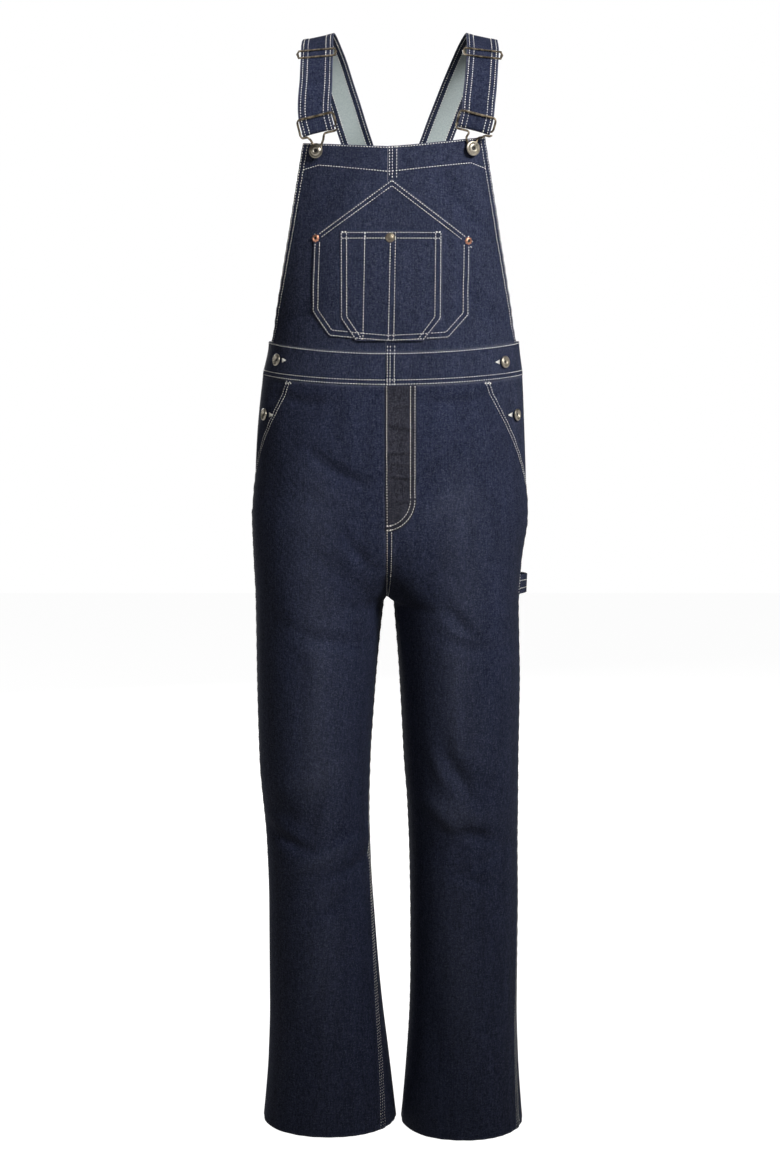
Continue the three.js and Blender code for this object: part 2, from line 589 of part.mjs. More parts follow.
function strapRow(row, half = STRAP.width / 2, flat) {
  const columns = steps(STRAP.columns).map((t) => (2 * t - 1) * half);
  return columns.map((w) => {
    const point = row.middle.clone().addScaledVector(row.across, w);
    if (flat) point.addScaledVector(row.along, (row.middle.z - point.z) / row.along.z);
    return point;
  });
}

function strap(side) {
  const { at, length, sliderAt } = strapPath(side);
  const rows = steps(STRAP.rows).map(at);
  const last = at(1);
  const bar = last.middle.clone().addScaledVector(last.out, -BEND);
  for (const t of steps(STRAP.fold).slice(1)) {
    const out = last.out.clone().multiplyScalar(Math.cos(t * Math.PI));
    out.addScaledVector(last.along, Math.sin(t * Math.PI));
    rows.push({ middle: bar.clone().addScaledVector(out, BEND), across: last.across, out });
  }
  const end = sliderAt + STRAP.tail / length;
  for (const t of TAIL_ROWS) {
    const row = at(lerp(1, end, t));
    const step = lerp(2 * BEND, LAYER_STEP, smoothstep(t, 0, 0.35));
    row.middle.addScaledVector(row.out, -step);
    rows.push({ ...row, out: row.out.negate() });
  }
  const face = (sign) => rows.map((row, i) => {
    const middle = row.middle.clone().addScaledVector(row.out, (sign * STRAP.thick) / 2);
    return strapRow({ ...row, middle }, STRAP.width / 2, i === 0);
  });
  return solidBetween(face(1), face(-1));
}

// A round wire along a smooth line through the given points
function wire(points, radius, count) {
  const path = new THREE.CatmullRomCurve3(points, false, "centripetal");
  const round = new THREE.Shape().absarc(0, 0, radius, 0, 2 * Math.PI);
  return new THREE.ExtrudeGeometry(round, { steps: count, curveSegments: 3, extrudePath: path, bevelEnabled: false });
}

// A point given by its distances along three directions from a place
function from(place, directions, distances) {
  return directions.reduce((point, d, i) => point.addScaledVector(d, distances[i]), place.clone());
}

// Where something sits on the front of the garment: its place and the way it faces
function seat(side, x, z, offset) {
  const angle = angleAt(side, x, z);
  const facing = normalAt(side, angle, z);
  const upright = new THREE.Vector3(0, 0, 1).addScaledVector(facing, -facing.z).normalize();
  const sideways = new THREE.Vector3().crossVectors(upright, facing);
  return { place: skin(side, angle, z, offset), facing, upright, level: sideways };
}

// Hook: one wire. It starts as the bar that the strap folds round, makes the frame, runs
// back in under the fold, and drops as two legs to the loop round the button's stem.
function hook(side) {
  const name = nameOf(side);
  const { at, length } = strapPath(side);
  const { middle, across, out, along } = at(1);
  const bar = middle.clone().addScaledVector(out, -BEND);
  const frame = [across, along.clone().negate(), out];
  const { half, height, below } = HOOK_FRAME;
  const behind = at(1 - height / length);
  const topBar = from(behind.middle, [behind.out], [STRAP.thick / 2 + SEAM_GAP * 2 + WIRE.hook]).sub(bar);
  const top = topBar.dot(frame[1]);
  const front = topBar.dot(out);
  const outer = hookLegs[name].outer * side;
  const inner = hookLegs[name].inner * side;
  const [low, high] = [Math.min(outer, inner), Math.max(outer, inner)];
  const inFrame = [
    [-half + 2.1, 0, 0], [-half / 2, 0, 0], [0, 0, 0], [half / 2, 0, 0], [half - 3, 0, 0],
    [half - 1.4, 0.2, 0], [half - 0.3, 0.9, 0.1], [half, 2.4, 0.5],
    [half, top - 2.5, front - 0.6], [half - 0.5, top - 0.6, front], [half - 2.4, top, front],
    [0, top, front], [-half + 2.4, top, front], [-half + 0.5, top - 0.6, front],
    [-half, top - 2.5, front - 0.6], [-half, 2, 0.4], [-half, -below + 1.8, 0],
    [-half + 0.5, -below + 0.4, 0], [-half + 2, -below, 0], [low - 1.6, -below, 0],
    [low - 0.3, -below - 0.5, 0.1], [low, -below - 1.8, 0.3],
  ];
  const outFrame = [
    [high, -below - 1.8, 0.3], [high + 0.3, -below - 0.5, 0.1], [high + 1.6, -below, 0],
    [half - 2, -below, 0], [half - 0.5, -below + 0.4, 0], [half, -below + 2, 0.1],
  ];
  const { place, facing, level: sideways, upright } = seat(side, bibButtons[name].x, bibButtons[name].z, 0);
  const r = LOOP_RADIUS;
  const down = r - BIB_BUTTON.stem - WIRE.hook - SEAM_GAP;
  const neck = r + 3;
  const loop = [
    [-r - 2.6, neck + 3], [-r - 0.6, neck - 1.2], [-r, 0], [-r * 0.7, -r * 0.7], [0, -r],
    [r * 0.7, -r * 0.7], [r, 0], [r + 0.6, neck - 1.2], [r + 2.6, neck + 3],
  ].map(([a, b]) => [a, b + down, (BIB_BUTTON.stand + SEAM_GAP) / 2]);
  const points = [
    ...inFrame.map((spot) => from(bar, frame, spot)),
    ...loop.map((spot) => from(place, [sideways, upright, facing], spot)),
    ...outFrame.map((spot) => from(bar, frame, spot)),
  ];
  add(`hook_${name}`, wire(points, WIRE.hook, 62), "brass");
}

function solidOf(geometry) {
  for (const key of ["normal", "uv"]) geometry.deleteAttribute(key);
  const merged = mergeVertices(geometry, 1e-4);
  return new wasm.Manifold(new wasm.Mesh({
    numProp: 3,
    vertProperties: merged.attributes.position.array,
    triVerts: new Uint32Array(merged.index.array),
  }));
}

function geometryOf(solid) {
  const { vertProperties, triVerts } = solid.getMesh();
  const geometry = new THREE.BufferGeometry();
  geometry.setAttribute("position", new THREE.BufferAttribute(new Float32Array(vertProperties), 3));
  geometry.setIndex(new THREE.BufferAttribute(new Uint32Array(triVerts), 1));
  geometry.computeVertexNormals();
  return geometry;
}

// Slider: a stamped frame in front of the strap, with its middle bar bowed behind it
function slider(side) {
  const { at, sliderAt } = strapPath(side);
  const { middle, across, out, along } = at(sliderAt);
  const { half, point, height, bar, thick } = SLIDER;
  const h = height / 2;
  const rim = new THREE.Shape([
    [-half + 2, -h], [half - 2, -h], [half, -h + 1.6], [point, 0], [half, h - 1.6],
    [half - 2, h], [-half + 2, h], [-half, h - 1.6], [-point, 0], [-half, -h + 1.6],
  ].map(([x, y]) => new THREE.Vector2(x, y)));
  const w = half - 1.2;
  rim.holes.push(new THREE.Path([
    [-w, -h + bar], [-w, h - bar], [w, h - bar], [w, -h + bar],
  ].map(([x, y]) => new THREE.Vector2(x, y))));
  const frame = new THREE.ExtrudeGeometry(rim, { depth: thick, bevelEnabled: false });
  const lift = STRAP.thick / 2 + SEAM_GAP;
  frame.translate(0, 0, lift);
  const back = -lift - WIRE.slider;
  const end = half + 0.6;
  const cross = wire([
    [-end, 0, lift + thick / 2], [-end, 0, lift - 1], [-end + 0.6, 0, back + 0.6], [-end + 2, 0, back],
    [0, 0, back], [end - 2, 0, back], [end - 0.6, 0, back + 0.6], [end, 0, lift - 1], [end, 0, lift + thick / 2],
  ].map((spot) => new THREE.Vector3(...spot)), WIRE.slider, 22);
  const mesh = add(`slider_${nameOf(side)}`, geometryOf(solidOf(frame).add(solidOf(cross))), "brass");
  mesh.position.copy(middle);
  mesh.quaternion.setFromRotationMatrix(new THREE.Matrix4().makeBasis(across, along.clone().negate(), out));
}

// A shank button: a stem that stands on the cloth under a rimmed, dished head
function button(name, spot, size, finish) {
  const { radius, stem, stand, thick } = size;
  const top = stand + thick;
  const profile = [
    [0, 0], [stem, 0], [stem, stand], [radius - 1, stand], [radius, stand + thick * 0.5],
    [radius - 1, top], [radius - 2.2, top], [radius - 3, top - 0.7], [2, top - 0.5], [0, top - 1.2],
  ];
  const turned = new THREE.LatheGeometry(profile.map(([x, y]) => new THREE.Vector2(x, y)), ROUND);
  const mesh = add(name, turned, finish);
  mesh.position.copy(spot.place);
  mesh.quaternion.setFromUnitVectors(new THREE.Vector3(0, 1, 0), spot.facing);
}

function penSnap() {
  const { x, z, radius, thick } = SNAP;
  const spot = seat(1, x, z, PATCH_CLEAR * 2 + PATCH_WALL * 2 + SEAM_GAP);
  const profile = [[0, 0], [radius, 0], [radius, 0.8], [radius - 1, thick * 0.8], [radius - 2.4, thick], [0, thick]];
  const turned = new THREE.LatheGeometry(profile.map(([a, b]) => new THREE.Vector2(a, b)), ROUND);
  const mesh = add("pen_snap", turned, "brass");
  mesh.position.copy(spot.place);
  mesh.quaternion.setFromUnitVectors(new THREE.Vector3(0, 1, 0), spot.facing);
}

function pocketRivet(side) {
  const { radius, notch, points, thick } = RIVET;
  const corner = housePocket[nameOf(side)];
  const spot = seat(side, corner.eaveX - side * 2.4, corner.eaveZ - 2, PATCH_CLEAR + PATCH_WALL + SEAM_GAP);
  const star = new THREE.Shape(Array.from({ length: 2 * points }, (_, i) => {
    const reach = i % 2 ? notch : radius;
    const turn = (i * Math.PI) / points;
    return new THREE.Vector2(reach * Math.cos(turn), reach * Math.sin(turn));
  }));
  const mesh = add(`pocket_rivet_${nameOf(side)}`, new THREE.ExtrudeGeometry(star, { depth: thick, bevelEnabled: false }), "copper");
  mesh.position.copy(spot.place);
  mesh.quaternion.setFromUnitVectors(new THREE.Vector3(0, 0, 1), spot.facing);
}

for (const [name, side] of Object.entries(sides)) {
  add(`bib_${name}`, bibHalf(side), "denim");
  add(`waistband_${name}`, waistbandFront(side), "denim");
  add(`front_leg_${name}`, frontLeg(side), "denim");
  add(`back_leg_${name}`, backLeg(side), "denim");
  add(`side_facing_${name}`, sideFacing(side), "denim");
  add(`strap_${name}`, strap(side), "denim");
  hook(side);
  slider(side);
  const bibSpot = bibButtons[name];
  const waistSpot = waistButtons[name];
  const hipSpot = hipButtons[name];
  button(`bib_button_${name}`, seat(side, bibSpot.x, bibSpot.z, SEAM_GAP), BIB_BUTTON, "steel");
  button(`waist_button_${name}`, seat(side, waistSpot.x, waistSpot.z, SEAM_GAP), SIDE_BUTTON, "steel");
  const stand = HIP_STAND - facingSink(side, angleAt(side, hipSpot.x, hipSpot.z), hipSpot.z);
  button(`hip_button_${name}`, seat(side, hipSpot.x, hipSpot.z, stand), SIDE_BUTTON, "steel");
  pocketRivet(side);
}
add("waistband_back", waistbandBack(), "denim");
add("back_bib", backBib(), "denim");
add("bib_pocket", frontPatch(HOUSE_COLUMNS, steps(6), houseSpot, PATCH_CLEAR), "denim");
const penBase = 2 * PATCH_CLEAR + PATCH_WALL;
add("pen_pocket", frontPatch(PEN_COLUMNS, steps(4), penSpot, penBase), "denim");
add("fly", fly(), "denim");
add("hammer_loop", hammerLoop(), "denim");
penSnap();

export default group;
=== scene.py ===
import math

import bmesh
import bpy
import numpy as np
from mathutils import Matrix, Vector


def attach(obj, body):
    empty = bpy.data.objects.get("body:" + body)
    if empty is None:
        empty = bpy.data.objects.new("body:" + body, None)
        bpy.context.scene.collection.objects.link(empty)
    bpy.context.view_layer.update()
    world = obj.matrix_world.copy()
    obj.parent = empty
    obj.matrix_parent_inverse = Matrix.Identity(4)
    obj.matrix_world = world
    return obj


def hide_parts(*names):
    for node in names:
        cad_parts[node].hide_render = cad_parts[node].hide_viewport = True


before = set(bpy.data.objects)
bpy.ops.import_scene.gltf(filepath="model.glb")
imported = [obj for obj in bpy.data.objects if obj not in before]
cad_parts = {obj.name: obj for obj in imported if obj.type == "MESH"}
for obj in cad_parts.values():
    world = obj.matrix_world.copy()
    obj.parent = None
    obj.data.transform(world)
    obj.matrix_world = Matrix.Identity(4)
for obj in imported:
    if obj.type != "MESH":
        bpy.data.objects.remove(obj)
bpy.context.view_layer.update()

# Camera. It stands 2.6 m in front of the garment, a little above its middle, and looks down
# by 7 degrees, which is the angle that the photograph was taken at.
camera_data = bpy.data.cameras.new("camera")
camera_data.lens = 64.78
camera_data.sensor_width = 36
camera = bpy.data.objects.new("camera", camera_data)
bpy.context.scene.collection.objects.link(camera)
camera.location = (-0.0012, -2.5806, -0.3431)
aim = Vector((-0.0012, 0, -0.660)) - camera.location
camera.rotation_euler = aim.to_track_quat("-Z", "Y").to_euler()
bpy.context.scene.camera = camera

# Raw denim. Twelve-ounce indigo twill, never washed down: dark blue warp over pale weft, with
# slubs that run down the cloth. The eye sees a deep blue-black with a fine upright grain and
# small pale flecks. The pattern is drawn at 1 to 2 mm, twice the real yarn, so that it shows.


def linear(colour):
    """A Blender colour from sRGB hex"""
    parts = [int(colour[i : i + 2], 16) / 255 for i in (1, 3, 5)]
    return [p / 12.92 if p <= 0.04045 else ((p + 0.055) / 1.055) ** 2.4 for p in parts] + [1]


def node(tree, kind, inputs=None, **settings):
    """Adds a node, sets it up, and fills or links its inputs"""
    made = tree.nodes.new(kind)
    for key, value in settings.items():
        setattr(made, key, value)
    for key, value in (inputs or {}).items():
        if isinstance(value, bpy.types.NodeSocket):
            tree.links.new(value, made.inputs[key])
        else:
            made.inputs[key].default_value = value
    return made


def denim(name, dark, mid, fleck, worn_and_lit):
    """Indigo twill in one shade: warp streaks, weft flecks, twill lines, and paler places from the wear attribute,
    which are wear at seams and edges and a painted highlight down the legs' fronts
    """
    material = bpy.data.materials.new(name)
    material.use_nodes = True
    tree = material.node_tree
    shader = tree.nodes["Principled BSDF"]
    place = node(tree, "ShaderNodeTexCoord")
    upright = node(tree, "ShaderNodeMapping", {"Vector": place.outputs["Object"], "Scale": (560, 560, 130)})
    slub = node(tree, "ShaderNodeTexNoise", {"Vector": upright.outputs[0], "Scale": 1.0, "Detail": 3.0})
    level_yarn = node(tree, "ShaderNodeMapping", {"Vector": place.outputs["Object"], "Scale": (170, 170, 620)})
    pick = node(tree, "ShaderNodeTexNoise", {"Vector": level_yarn.outputs[0], "Scale": 1.0, "Detail": 2.0})
    grain = node(tree, "ShaderNodeTexNoise", {"Vector": place.outputs["Object"], "Scale": 640.0, "Detail": 2.0})
    hanging = node(tree, "ShaderNodeMapping", {"Vector": place.outputs["Object"], "Scale": (75, 75, 12)})
    cloudy = node(tree, "ShaderNodeTexNoise", {"Vector": hanging.outputs[0], "Scale": 1.0, "Detail": 4.0})
    turned = node(
        tree,
        "ShaderNodeMapping",
        {"Vector": place.outputs["UV"], "Rotation": (0, 0, math.radians(63))},
    )
    twill = node(
        tree,
        "ShaderNodeTexWave",
        {"Vector": turned.outputs[0], "Scale": 1 / (0.0018 * 4 * math.pi), "Distortion": 0.6, "Detail": 1.0},
    )
    yarns = node(tree, "ShaderNodeMath", {0: slub.outputs[0], 1: 0.6, 2: 0.0}, operation="MULTIPLY_ADD")
    both = node(tree, "ShaderNodeMath", {0: pick.outputs[0], 1: 0.4, 2: yarns.outputs[0]}, operation="MULTIPLY_ADD")
    streak = node(tree, "ShaderNodeMapRange", {"Value": both.outputs[0], "From Min": 0.36, "From Max": 0.64})
    shade = node(
        tree,
        "ShaderNodeMix",
        {0: streak.outputs[0], 6: linear(dark), 7: linear(mid)},
        data_type="RGBA",
    )
    speck = node(tree, "ShaderNodeMapRange", {"Value": grain.outputs[0], "From Min": 0.5, "From Max": 0.78, "To Max": 0.22})
    flecked = node(
        tree,
        "ShaderNodeMix",
        {0: speck.outputs[0], 6: shade.outputs[2], 7: linear(fleck)},
        data_type="RGBA",
    )
    tone = node(
        tree,
        "ShaderNodeMapRange",
        {"Value": cloudy.outputs[0], "From Min": 0.3, "From Max": 0.7, "To Min": 0.86, "To Max": 1.14},
    )
    toned = node(
        tree,
        "ShaderNodeMix",
        {0: 1.0, 6: flecked.outputs[2], 7: tone.outputs[0]},
        data_type="RGBA",
        blend_type="MULTIPLY",
    )
    # The wear attribute pales the cloth towards the worn colour: wear along seams and edges, paleness that follows the
    # folds' height, and a painted highlight down the front of each leg.
    wear_and_painted_light = node(tree, "ShaderNodeAttribute", attribute_name="wear_and_painted_light")
    rubbed = node(tree, "ShaderNodeMath", {0: wear_and_painted_light.outputs["Fac"], 1: grain.outputs[0]}, operation="MULTIPLY")
    faded_and_lit = node(
        tree,
        "ShaderNodeMix",
        {0: rubbed.outputs[0], 6: toned.outputs[2], 7: linear(worn_and_lit)},
        data_type="RGBA",
    )
    tree.links.new(faded_and_lit.outputs[2], shader.inputs["Base Color"])
    depth = node(tree, "ShaderNodeMath", {0: twill.outputs["Fac"], 1: 0.35, 2: both.outputs[0]}, operation="MULTIPLY_ADD")
    bump = node(tree, "ShaderNodeBump", {"Height": depth.outputs[0], "Strength": 0.45, "Distance": 0.0006})
    tree.links.new(bump.outputs[0], shader.inputs["Normal"])
    shader.inputs["Roughness"].default_value = 0.92
    shader.inputs["Specular IOR Level"].default_value = 0.08
    return material


raw_denim = denim("raw_denim_twill", "#111727", "#282c40", "#6b7083", "#717586")
fly_denim = denim("raw_denim_twill_fly", "#16171f", "#2d2d36", "#67676d", "#6b6b72")

# Wrong side of the denim, where the pale weft shows: an even grey-green with faint blue flecks.
wrong_side = bpy.data.materials.new("denim_wrong_side_weft")
wrong_side.use_nodes = True
tree = wrong_side.node_tree
place = node(tree, "ShaderNodeTexCoord")
weft = node(tree, "ShaderNodeTexNoise", {"Vector": place.outputs["Object"], "Scale": 700.0, "Detail": 3.0})
pale = node(
    tree,
    "ShaderNodeMix",
    {0: weft.outputs[0], 6: linear("#838d8e"), 7: linear("#b3bcba")},
    data_type="RGBA",
)
bump = node(tree, "ShaderNodeBump", {"Height": weft.outputs[0], "Strength": 0.3, "Distance": 0.0005})
shader = tree.nodes["Principled BSDF"]
shader.inputs["Roughness"].default_value = 0.9
tree.links.new(pale.outputs[2], shader.inputs["Base Color"])
tree.links.new(bump.outputs[0], shader.inputs["Normal"])

# Topstitching thread. Off-white spun polyester, thick and matt; it is drawn 0.9 mm wide.
thread = bpy.data.materials.new("spun_topstitch_thread")
thread.use_nodes = True
tree = thread.node_tree
place = node(tree, "ShaderNodeTexCoord")
plies = node(tree, "ShaderNodeTexNoise", {"Vector": place.outputs["Object"], "Scale": 1500.0})
ply = node(
    tree,
    "ShaderNodeMix",
    {0: plies.outputs[0], 6: linear("#cfccc4"), 7: linear("#f4f2ea")},
    data_type="RGBA",
)
shader = tree.nodes["Principled BSDF"]
shader.inputs["Roughness"].default_value = 0.6
tree.links.new(ply.outputs[2], shader.inputs["Base Color"])

# Legs. Four panels of denim, filled out as worn: a front and a back for each leg, felled together
# down the outside, the inside and the rise. All the cloth below follows one worn form, in
# millimetres: a squared ellipse at each height, with the large folds that the solids have too.

WALL = 1.4
HALF_GAP = 0.05
WAIST_TOP, WAIST_SEAM = -361, -402
WAIST_DIP = {"top": 12, "seam": 10}
CROTCH, RISE_CURVE = -672, 130
RISE_TOP = CROTCH + RISE_CURVE
HEM = {-1: -1338, 1: -1342}
SKEW_FROM = -790
SKEW_AT_HEM = {-1: -35, 1: 25}
MOUTH = {-1: {"x": -124, "z": -548}, 1: {"x": 117, "z": -560}}
MOUTH_CURVE = 1.25


def table(text):
    """Rows of numbers and words under one line of column names"""
    head, *lines = [line.split() for line in text.strip().splitlines()]
    return [{key: word if word[0].isalpha() else float(word) for key, word in zip(head, line)} for line in lines]


levels = table("""
    z      centre  right  left  front  back  square
    -120   -3.5    149    152   104    97    2.3
    -200   -4      149    152   107    96    2.3
    -300   -5      148    153   109    90    2.3
    -361   -6      148    155   108    87    2.3
    -405   -6.5    156    160   109    91    2.3
    -469   -6.5    163    163   113    107   2.3
    -518   -6.5    166    165   115    119   2.3
    -568   -6      170    168   115    124   2.3
    -629   -5.5    168    160   110    116   2.25
    -679   -5      166    157   104    104   2.2
    -779   -5      165    159   98     93    2.15
    -880   -5      163    158   90     83    2.15
    -982   -5      155    158   83     76    2.15
    -1059  -5      153    159   80     74    2.15
    -1189  -5      153    159   80     76    2.15
    -1255  -5      155    161   81     79    2.15
    -1342  -5      162    167   82     82    2.15
""")
inseams = table("""
    z      right   left
    -672   -5.15   -4.85
    -679   -9      3.5
    -704   -12.5   6
    -754   -17.5   10
    -804   -21.5   13
    -880   -26     17
    -931   -27     21
    -1008  -25     24
    -1085  -20     25
    -1137  -16     25
    -1189  -11     24
    -1255  -3      20
    -1342  7       13
""")

# Each fold: its face, its middle, half length and half width, lean in degrees, height, and how
# far its line bows. The wide ones are in the solids too, the narrow ones are drawn only here.
folds = table("""
    name               face   x     z      long  wide  lean  high  bow
    right_hip_drag     front  -92   -446   40    16    -8    -2    0
    left_hip_drag      front  84    -444   40    16    7     -2.2  0
    right_groin        front  -78   -534   44    17    -24   -2.6  0
    left_groin         front  88    -526   44    17    20    -2.6  0
    right_fork         front  -56   -640   40    16    -42   -3    0
    left_fork          front  56    -636   44    17    40    -3.4  0
    right_thigh        front  -116  -742   62    20    -66   -2.6  0
    left_thigh         front  110   -752   62    20    66    -2.6  0
    right_knee_upper   front  -92   -886   44    17    24    2.6   0
    right_knee_outer   front  -122  -938   36    17    -34   -3.8  0
    right_knee_inner   front  -62   -968   32    16    22    -2.8  0
    left_knee_upper    front  92    -888   42    16    -32   -3.4  0
    left_knee_lower    front  84    -972   46    17    15    -3.6  0
    left_knee_ridge    front  100   -930   40    16    -8    2.6   0
    right_shin         front  -86   -1120  100   24    85    2.6   0
    left_shin          front  84    -1130  105   24    96    2.6   0
    right_seat         back   -74   -628   48    18    26    -4    0
    left_seat          back   66    -634   48    18    -26   -4    0
    right_under_seat   back   -96   -706   44    18    14    -3.4  0
    left_under_seat    back   90    -712   44    18    -12   -3.4  0
    right_knee_back_1  back   -92   -920   46    16    -12   -4.2  0
    right_knee_back_2  back   -84   -986   42    16    14    -4    0
    left_knee_back_1   back   94    -926   46    16    12    -4.2  0
    left_knee_back_2   back   88    -994   42    16    -15   -4    0
    back_waist_right   back   -70   -458   44    16    -14   -2.6  0
    back_waist_left    back   64    -454   44    16    14    -2.6  0
    right_waist_sag    front  -98   -432    36    7     -4    -2.5  5
    left_waist_sag     front  80    -431    46    7     4     -2.8  6
    right_lap_trough   front  -62   -514    42    9     -30   -3.9  4
    right_lap_ridge    front  -74   -538    46    12    -24   2.7   3
    left_lap_trough    front  54    -514    40    9     40    -3.9  4
    left_lap_ridge     front  70    -543    40    12    32    2.8   -3
    right_fork_pull    front  -38   -612    34    8     -48   -3.1  3
    left_fork_pull     front  40    -606    36    8     50    -3.4  3
    right_thigh_cross  front  -76   -716    42    10    -12   -3.4  4
    left_thigh_cross   front  82    -694    28    8     -48   -3.9  2
    left_thigh_under   front  94    -724    34    9     -14   -3.1  4
    right_thigh_crease front  -90   -790    96    12    88    2.4   0
    left_thigh_crease  front  76    -780    84    12    91    2.4   0
    left_knee_drag_1   front  86    -894    46    10    -60   -4.6  5
    left_knee_crest_1  front  60    -876    28    10    -58   3.2   3
    left_knee_drag_2   front  104   -957    32    9     -14   -4.4  -5
    left_knee_crest_2  front  68    -936    32    11    -46   3.6   -4
    left_knee_drag_3   front  116   -990    34    9     24    -3    3
    left_calf_dent     front  98    -1012   22    8     -22   -3.1  0
    right_knee_drag_1  front  -124  -968    34    8     -24   -4.8  3
    right_knee_crest   front  -74   -980    40    9     24    3.9   -4
    right_knee_drag_2  front  -50   -1002   30    8     20    -3.9  3
    right_knee_drag_3  front  -96   -936    30    8     60    -2.8  0
    right_calf_dent    front  -66   -1046   30    9     36    -2.8  3
    right_hem_lean     front  -104  -1250   70    13    80    -2.1  0
    left_hem_lean      front  60    -1240   74    13    98    -2.1  0
    right_seat_line    back   -64   -650    50    9     18    -4.2  5
    left_seat_line     back   72    -658    44    9     -22   -4.2  5
    right_thigh_behind back   -96   -760    60    10    74    -3.1  0
    left_thigh_behind  back   92    -774    54    10    -70   -3.1  0
    right_knee_behind  back   -96   -954    52    8     -14   -4.8  4
    left_knee_behind   back   92    -960    46    8     10    -4.8  -4
    right_calf_behind  back   -80   -1090   80    12    86    3.4   0
    left_calf_behind   back   86    -1110   88    12    95    3.4   0
    right_bib_pull     front  -72   -196    34    9     52    -3    3
    left_bib_pull      front  84    -206    36    9     -50   -3.2  3
    right_bib_foot     front  -108  -330    34    9     34    -2.5  3
    left_bib_foot      front  112   -322    36    9     -40   -2.5  3
    back_bib_pull_1    back   -44   -282    46    10    58    -3.1  4
    back_bib_pull_2    back   50    -300    42    10    -52   -3.1  4
""")
FOLD_FADE = 26


def down_column(rows, key):
    """A smooth curve down one column of a table, that never overshoots its rows"""
    down = np.array([-row["z"] for row in rows])
    value = np.array([row[key] for row in rows])
    step = np.diff(down)
    rise = np.diff(value) / step
    before, after = np.r_[rise[:1], rise], np.r_[rise, rise[-1:]]
    bends = before * after <= 0
    slope = np.where(bends, 0, 2 / (1 / np.where(bends, 1, before) + 1 / np.where(bends, 1, after)))

    def at(z):
        depth = np.clip(-np.asarray(z, float), down[0], down[-1])
        i = np.clip(np.searchsorted(down, depth, side="left") - 1, 0, len(step) - 1)
        t = (depth - down[i]) / step[i]
        near = (1 + 2 * t) * (1 - t) ** 2 * value[i] + t * (1 - t) ** 2 * step[i] * slope[i]
        far = t * t * (3 - 2 * t) * value[i + 1] + t * t * (t - 1) * step[i] * slope[i + 1]
        return near + far

    return at


level = {key: down_column(levels, key) for key in ("centre", "right", "left", "front", "back", "square")}
inseam = {key: down_column(inseams, key) for key in ("right", "left")}


def lerp(a, b, t):
    return a + (b - a) * t


def smoothstep(value, low, high):
    t = np.clip((value - low) / (high - low), 0, 1)
    return t * t * (3 - 2 * t)


def section(side, z, gap):
    """One side's section: its middle, half width, share past the centre plane and squareness"""
    centre = level["centre"](z)
    outline = np.where(side < 0, level["right"](z) + centre, level["left"](z) - centre) - gap
    inner = np.where(side < 0, -(inseam["right"](z) - centre), inseam["left"](z) - centre) - gap
    k = np.clip((RISE_TOP - z) / RISE_CURVE, 0, 1) ** 1.5
    above = z > CROTCH
    middle = np.where(above, k * outline / (1 + k), (outline + inner) / 2)
    half = np.where(above, outline / (1 + k), (outline - inner) / 2)
    return centre, middle, half, np.where(above, k, 1), level["square"](z)


def bare(side, angle, z, gap):
    """The smooth body. The angle is 0 at the side, grows over the front and falls over the back"""
    centre, middle, half, _, n = section(side, z, gap)
    c, f = np.cos(angle), np.sin(angle)
    r = (np.abs(c) ** n + np.abs(f) ** n) ** (-1 / n)
    depth = np.where(f > 0, level["front"](z), level["back"](z))
    return np.stack([centre + side * (gap + middle + half * r * c), -depth * r * f, z + 0 * c], axis=-1)


def outward(side, angle, z):
    """The smooth body's normal"""
    around = bare(side, angle + 0.004, z, HALF_GAP) - bare(side, angle - 0.004, z, HALF_GAP)
    down = bare(side, angle, z - 0.5, HALF_GAP) - bare(side, angle, z + 0.5, HALF_GAP)
    normal = np.cross(around, down)
    normal /= np.maximum(np.linalg.norm(normal, axis=-1, keepdims=True), 1e-9)
    out = np.stack([side * np.cos(angle), -np.sin(angle), 0 * angle], axis=-1)
    flip = np.sum(normal * out, axis=-1, keepdims=True) < 0
    return np.where(flip, -normal, normal)


def fold_at(point, angle):
    """How far the folds move the cloth"""
    x, z = point[..., 0], point[..., 2]
    off_centre = np.abs(x - level["centre"](z))
    fade = smoothstep(off_centre, 0, FOLD_FADE) * smoothstep(np.abs(np.sin(angle)), 0, 0.35)
    move = np.zeros_like(x)
    for fold in folds:
        on_face = np.sin(angle) > 0 if fold["face"] == "front" else np.sin(angle) <= 0
        lean = math.radians(fold["lean"])
        dx, dz = x - fold["x"], z - fold["z"]
        along = (dx * math.cos(lean) + dz * math.sin(lean)) / fold["long"]
        across = (dz * math.cos(lean) - dx * math.sin(lean) - fold["bow"] * along**2) / fold["wide"]
        move += on_face * fold["high"] * np.exp(-(along**2) - across**2)
    return move * fade


def skin(side, angle, z, offset=0.0, gap=HALF_GAP):
    """Points of the cloth's outer face, or moved off it along its normal"""
    point = bare(side, angle, z, gap)
    lift = offset + fold_at(point, angle)
    return point + outward(side, angle, z) * np.asarray(lift)[..., None]


def angle_at(side, x, z, gap=HALF_GAP):
    """The angle at which the front of a section reaches a distance from the centre"""
    centre, middle, half, _, n = section(side, z, gap)
    q = np.clip((np.maximum(side * (x - centre) - gap, 0) - middle) / half, -1, 1)
    return np.arctan2((1 - np.abs(q) ** n) ** (1 / n), q)


def centre_angle(side, z, depth):
    """The angle at which a section meets the centre plane, or the inseam"""
    _, _, _, k, n = section(side, z, HALF_GAP)
    return np.minimum(np.arctan2((1 - k**n) ** (1 / n), -k), math.pi - HALF_GAP / depth)


def mouth_angle(side, z):
    """Where the front panel's slanted pocket mouth runs, and then the side seam"""
    mouth = MOUTH[side]
    t = np.clip((WAIST_SEAM - z) / (WAIST_SEAM - mouth["z"]), 0, 1)
    top = angle_at(side, np.float64(mouth["x"]), np.float64(WAIST_SEAM))
    return lerp(top, HALF_GAP / level["front"](z), t**MOUTH_CURVE)


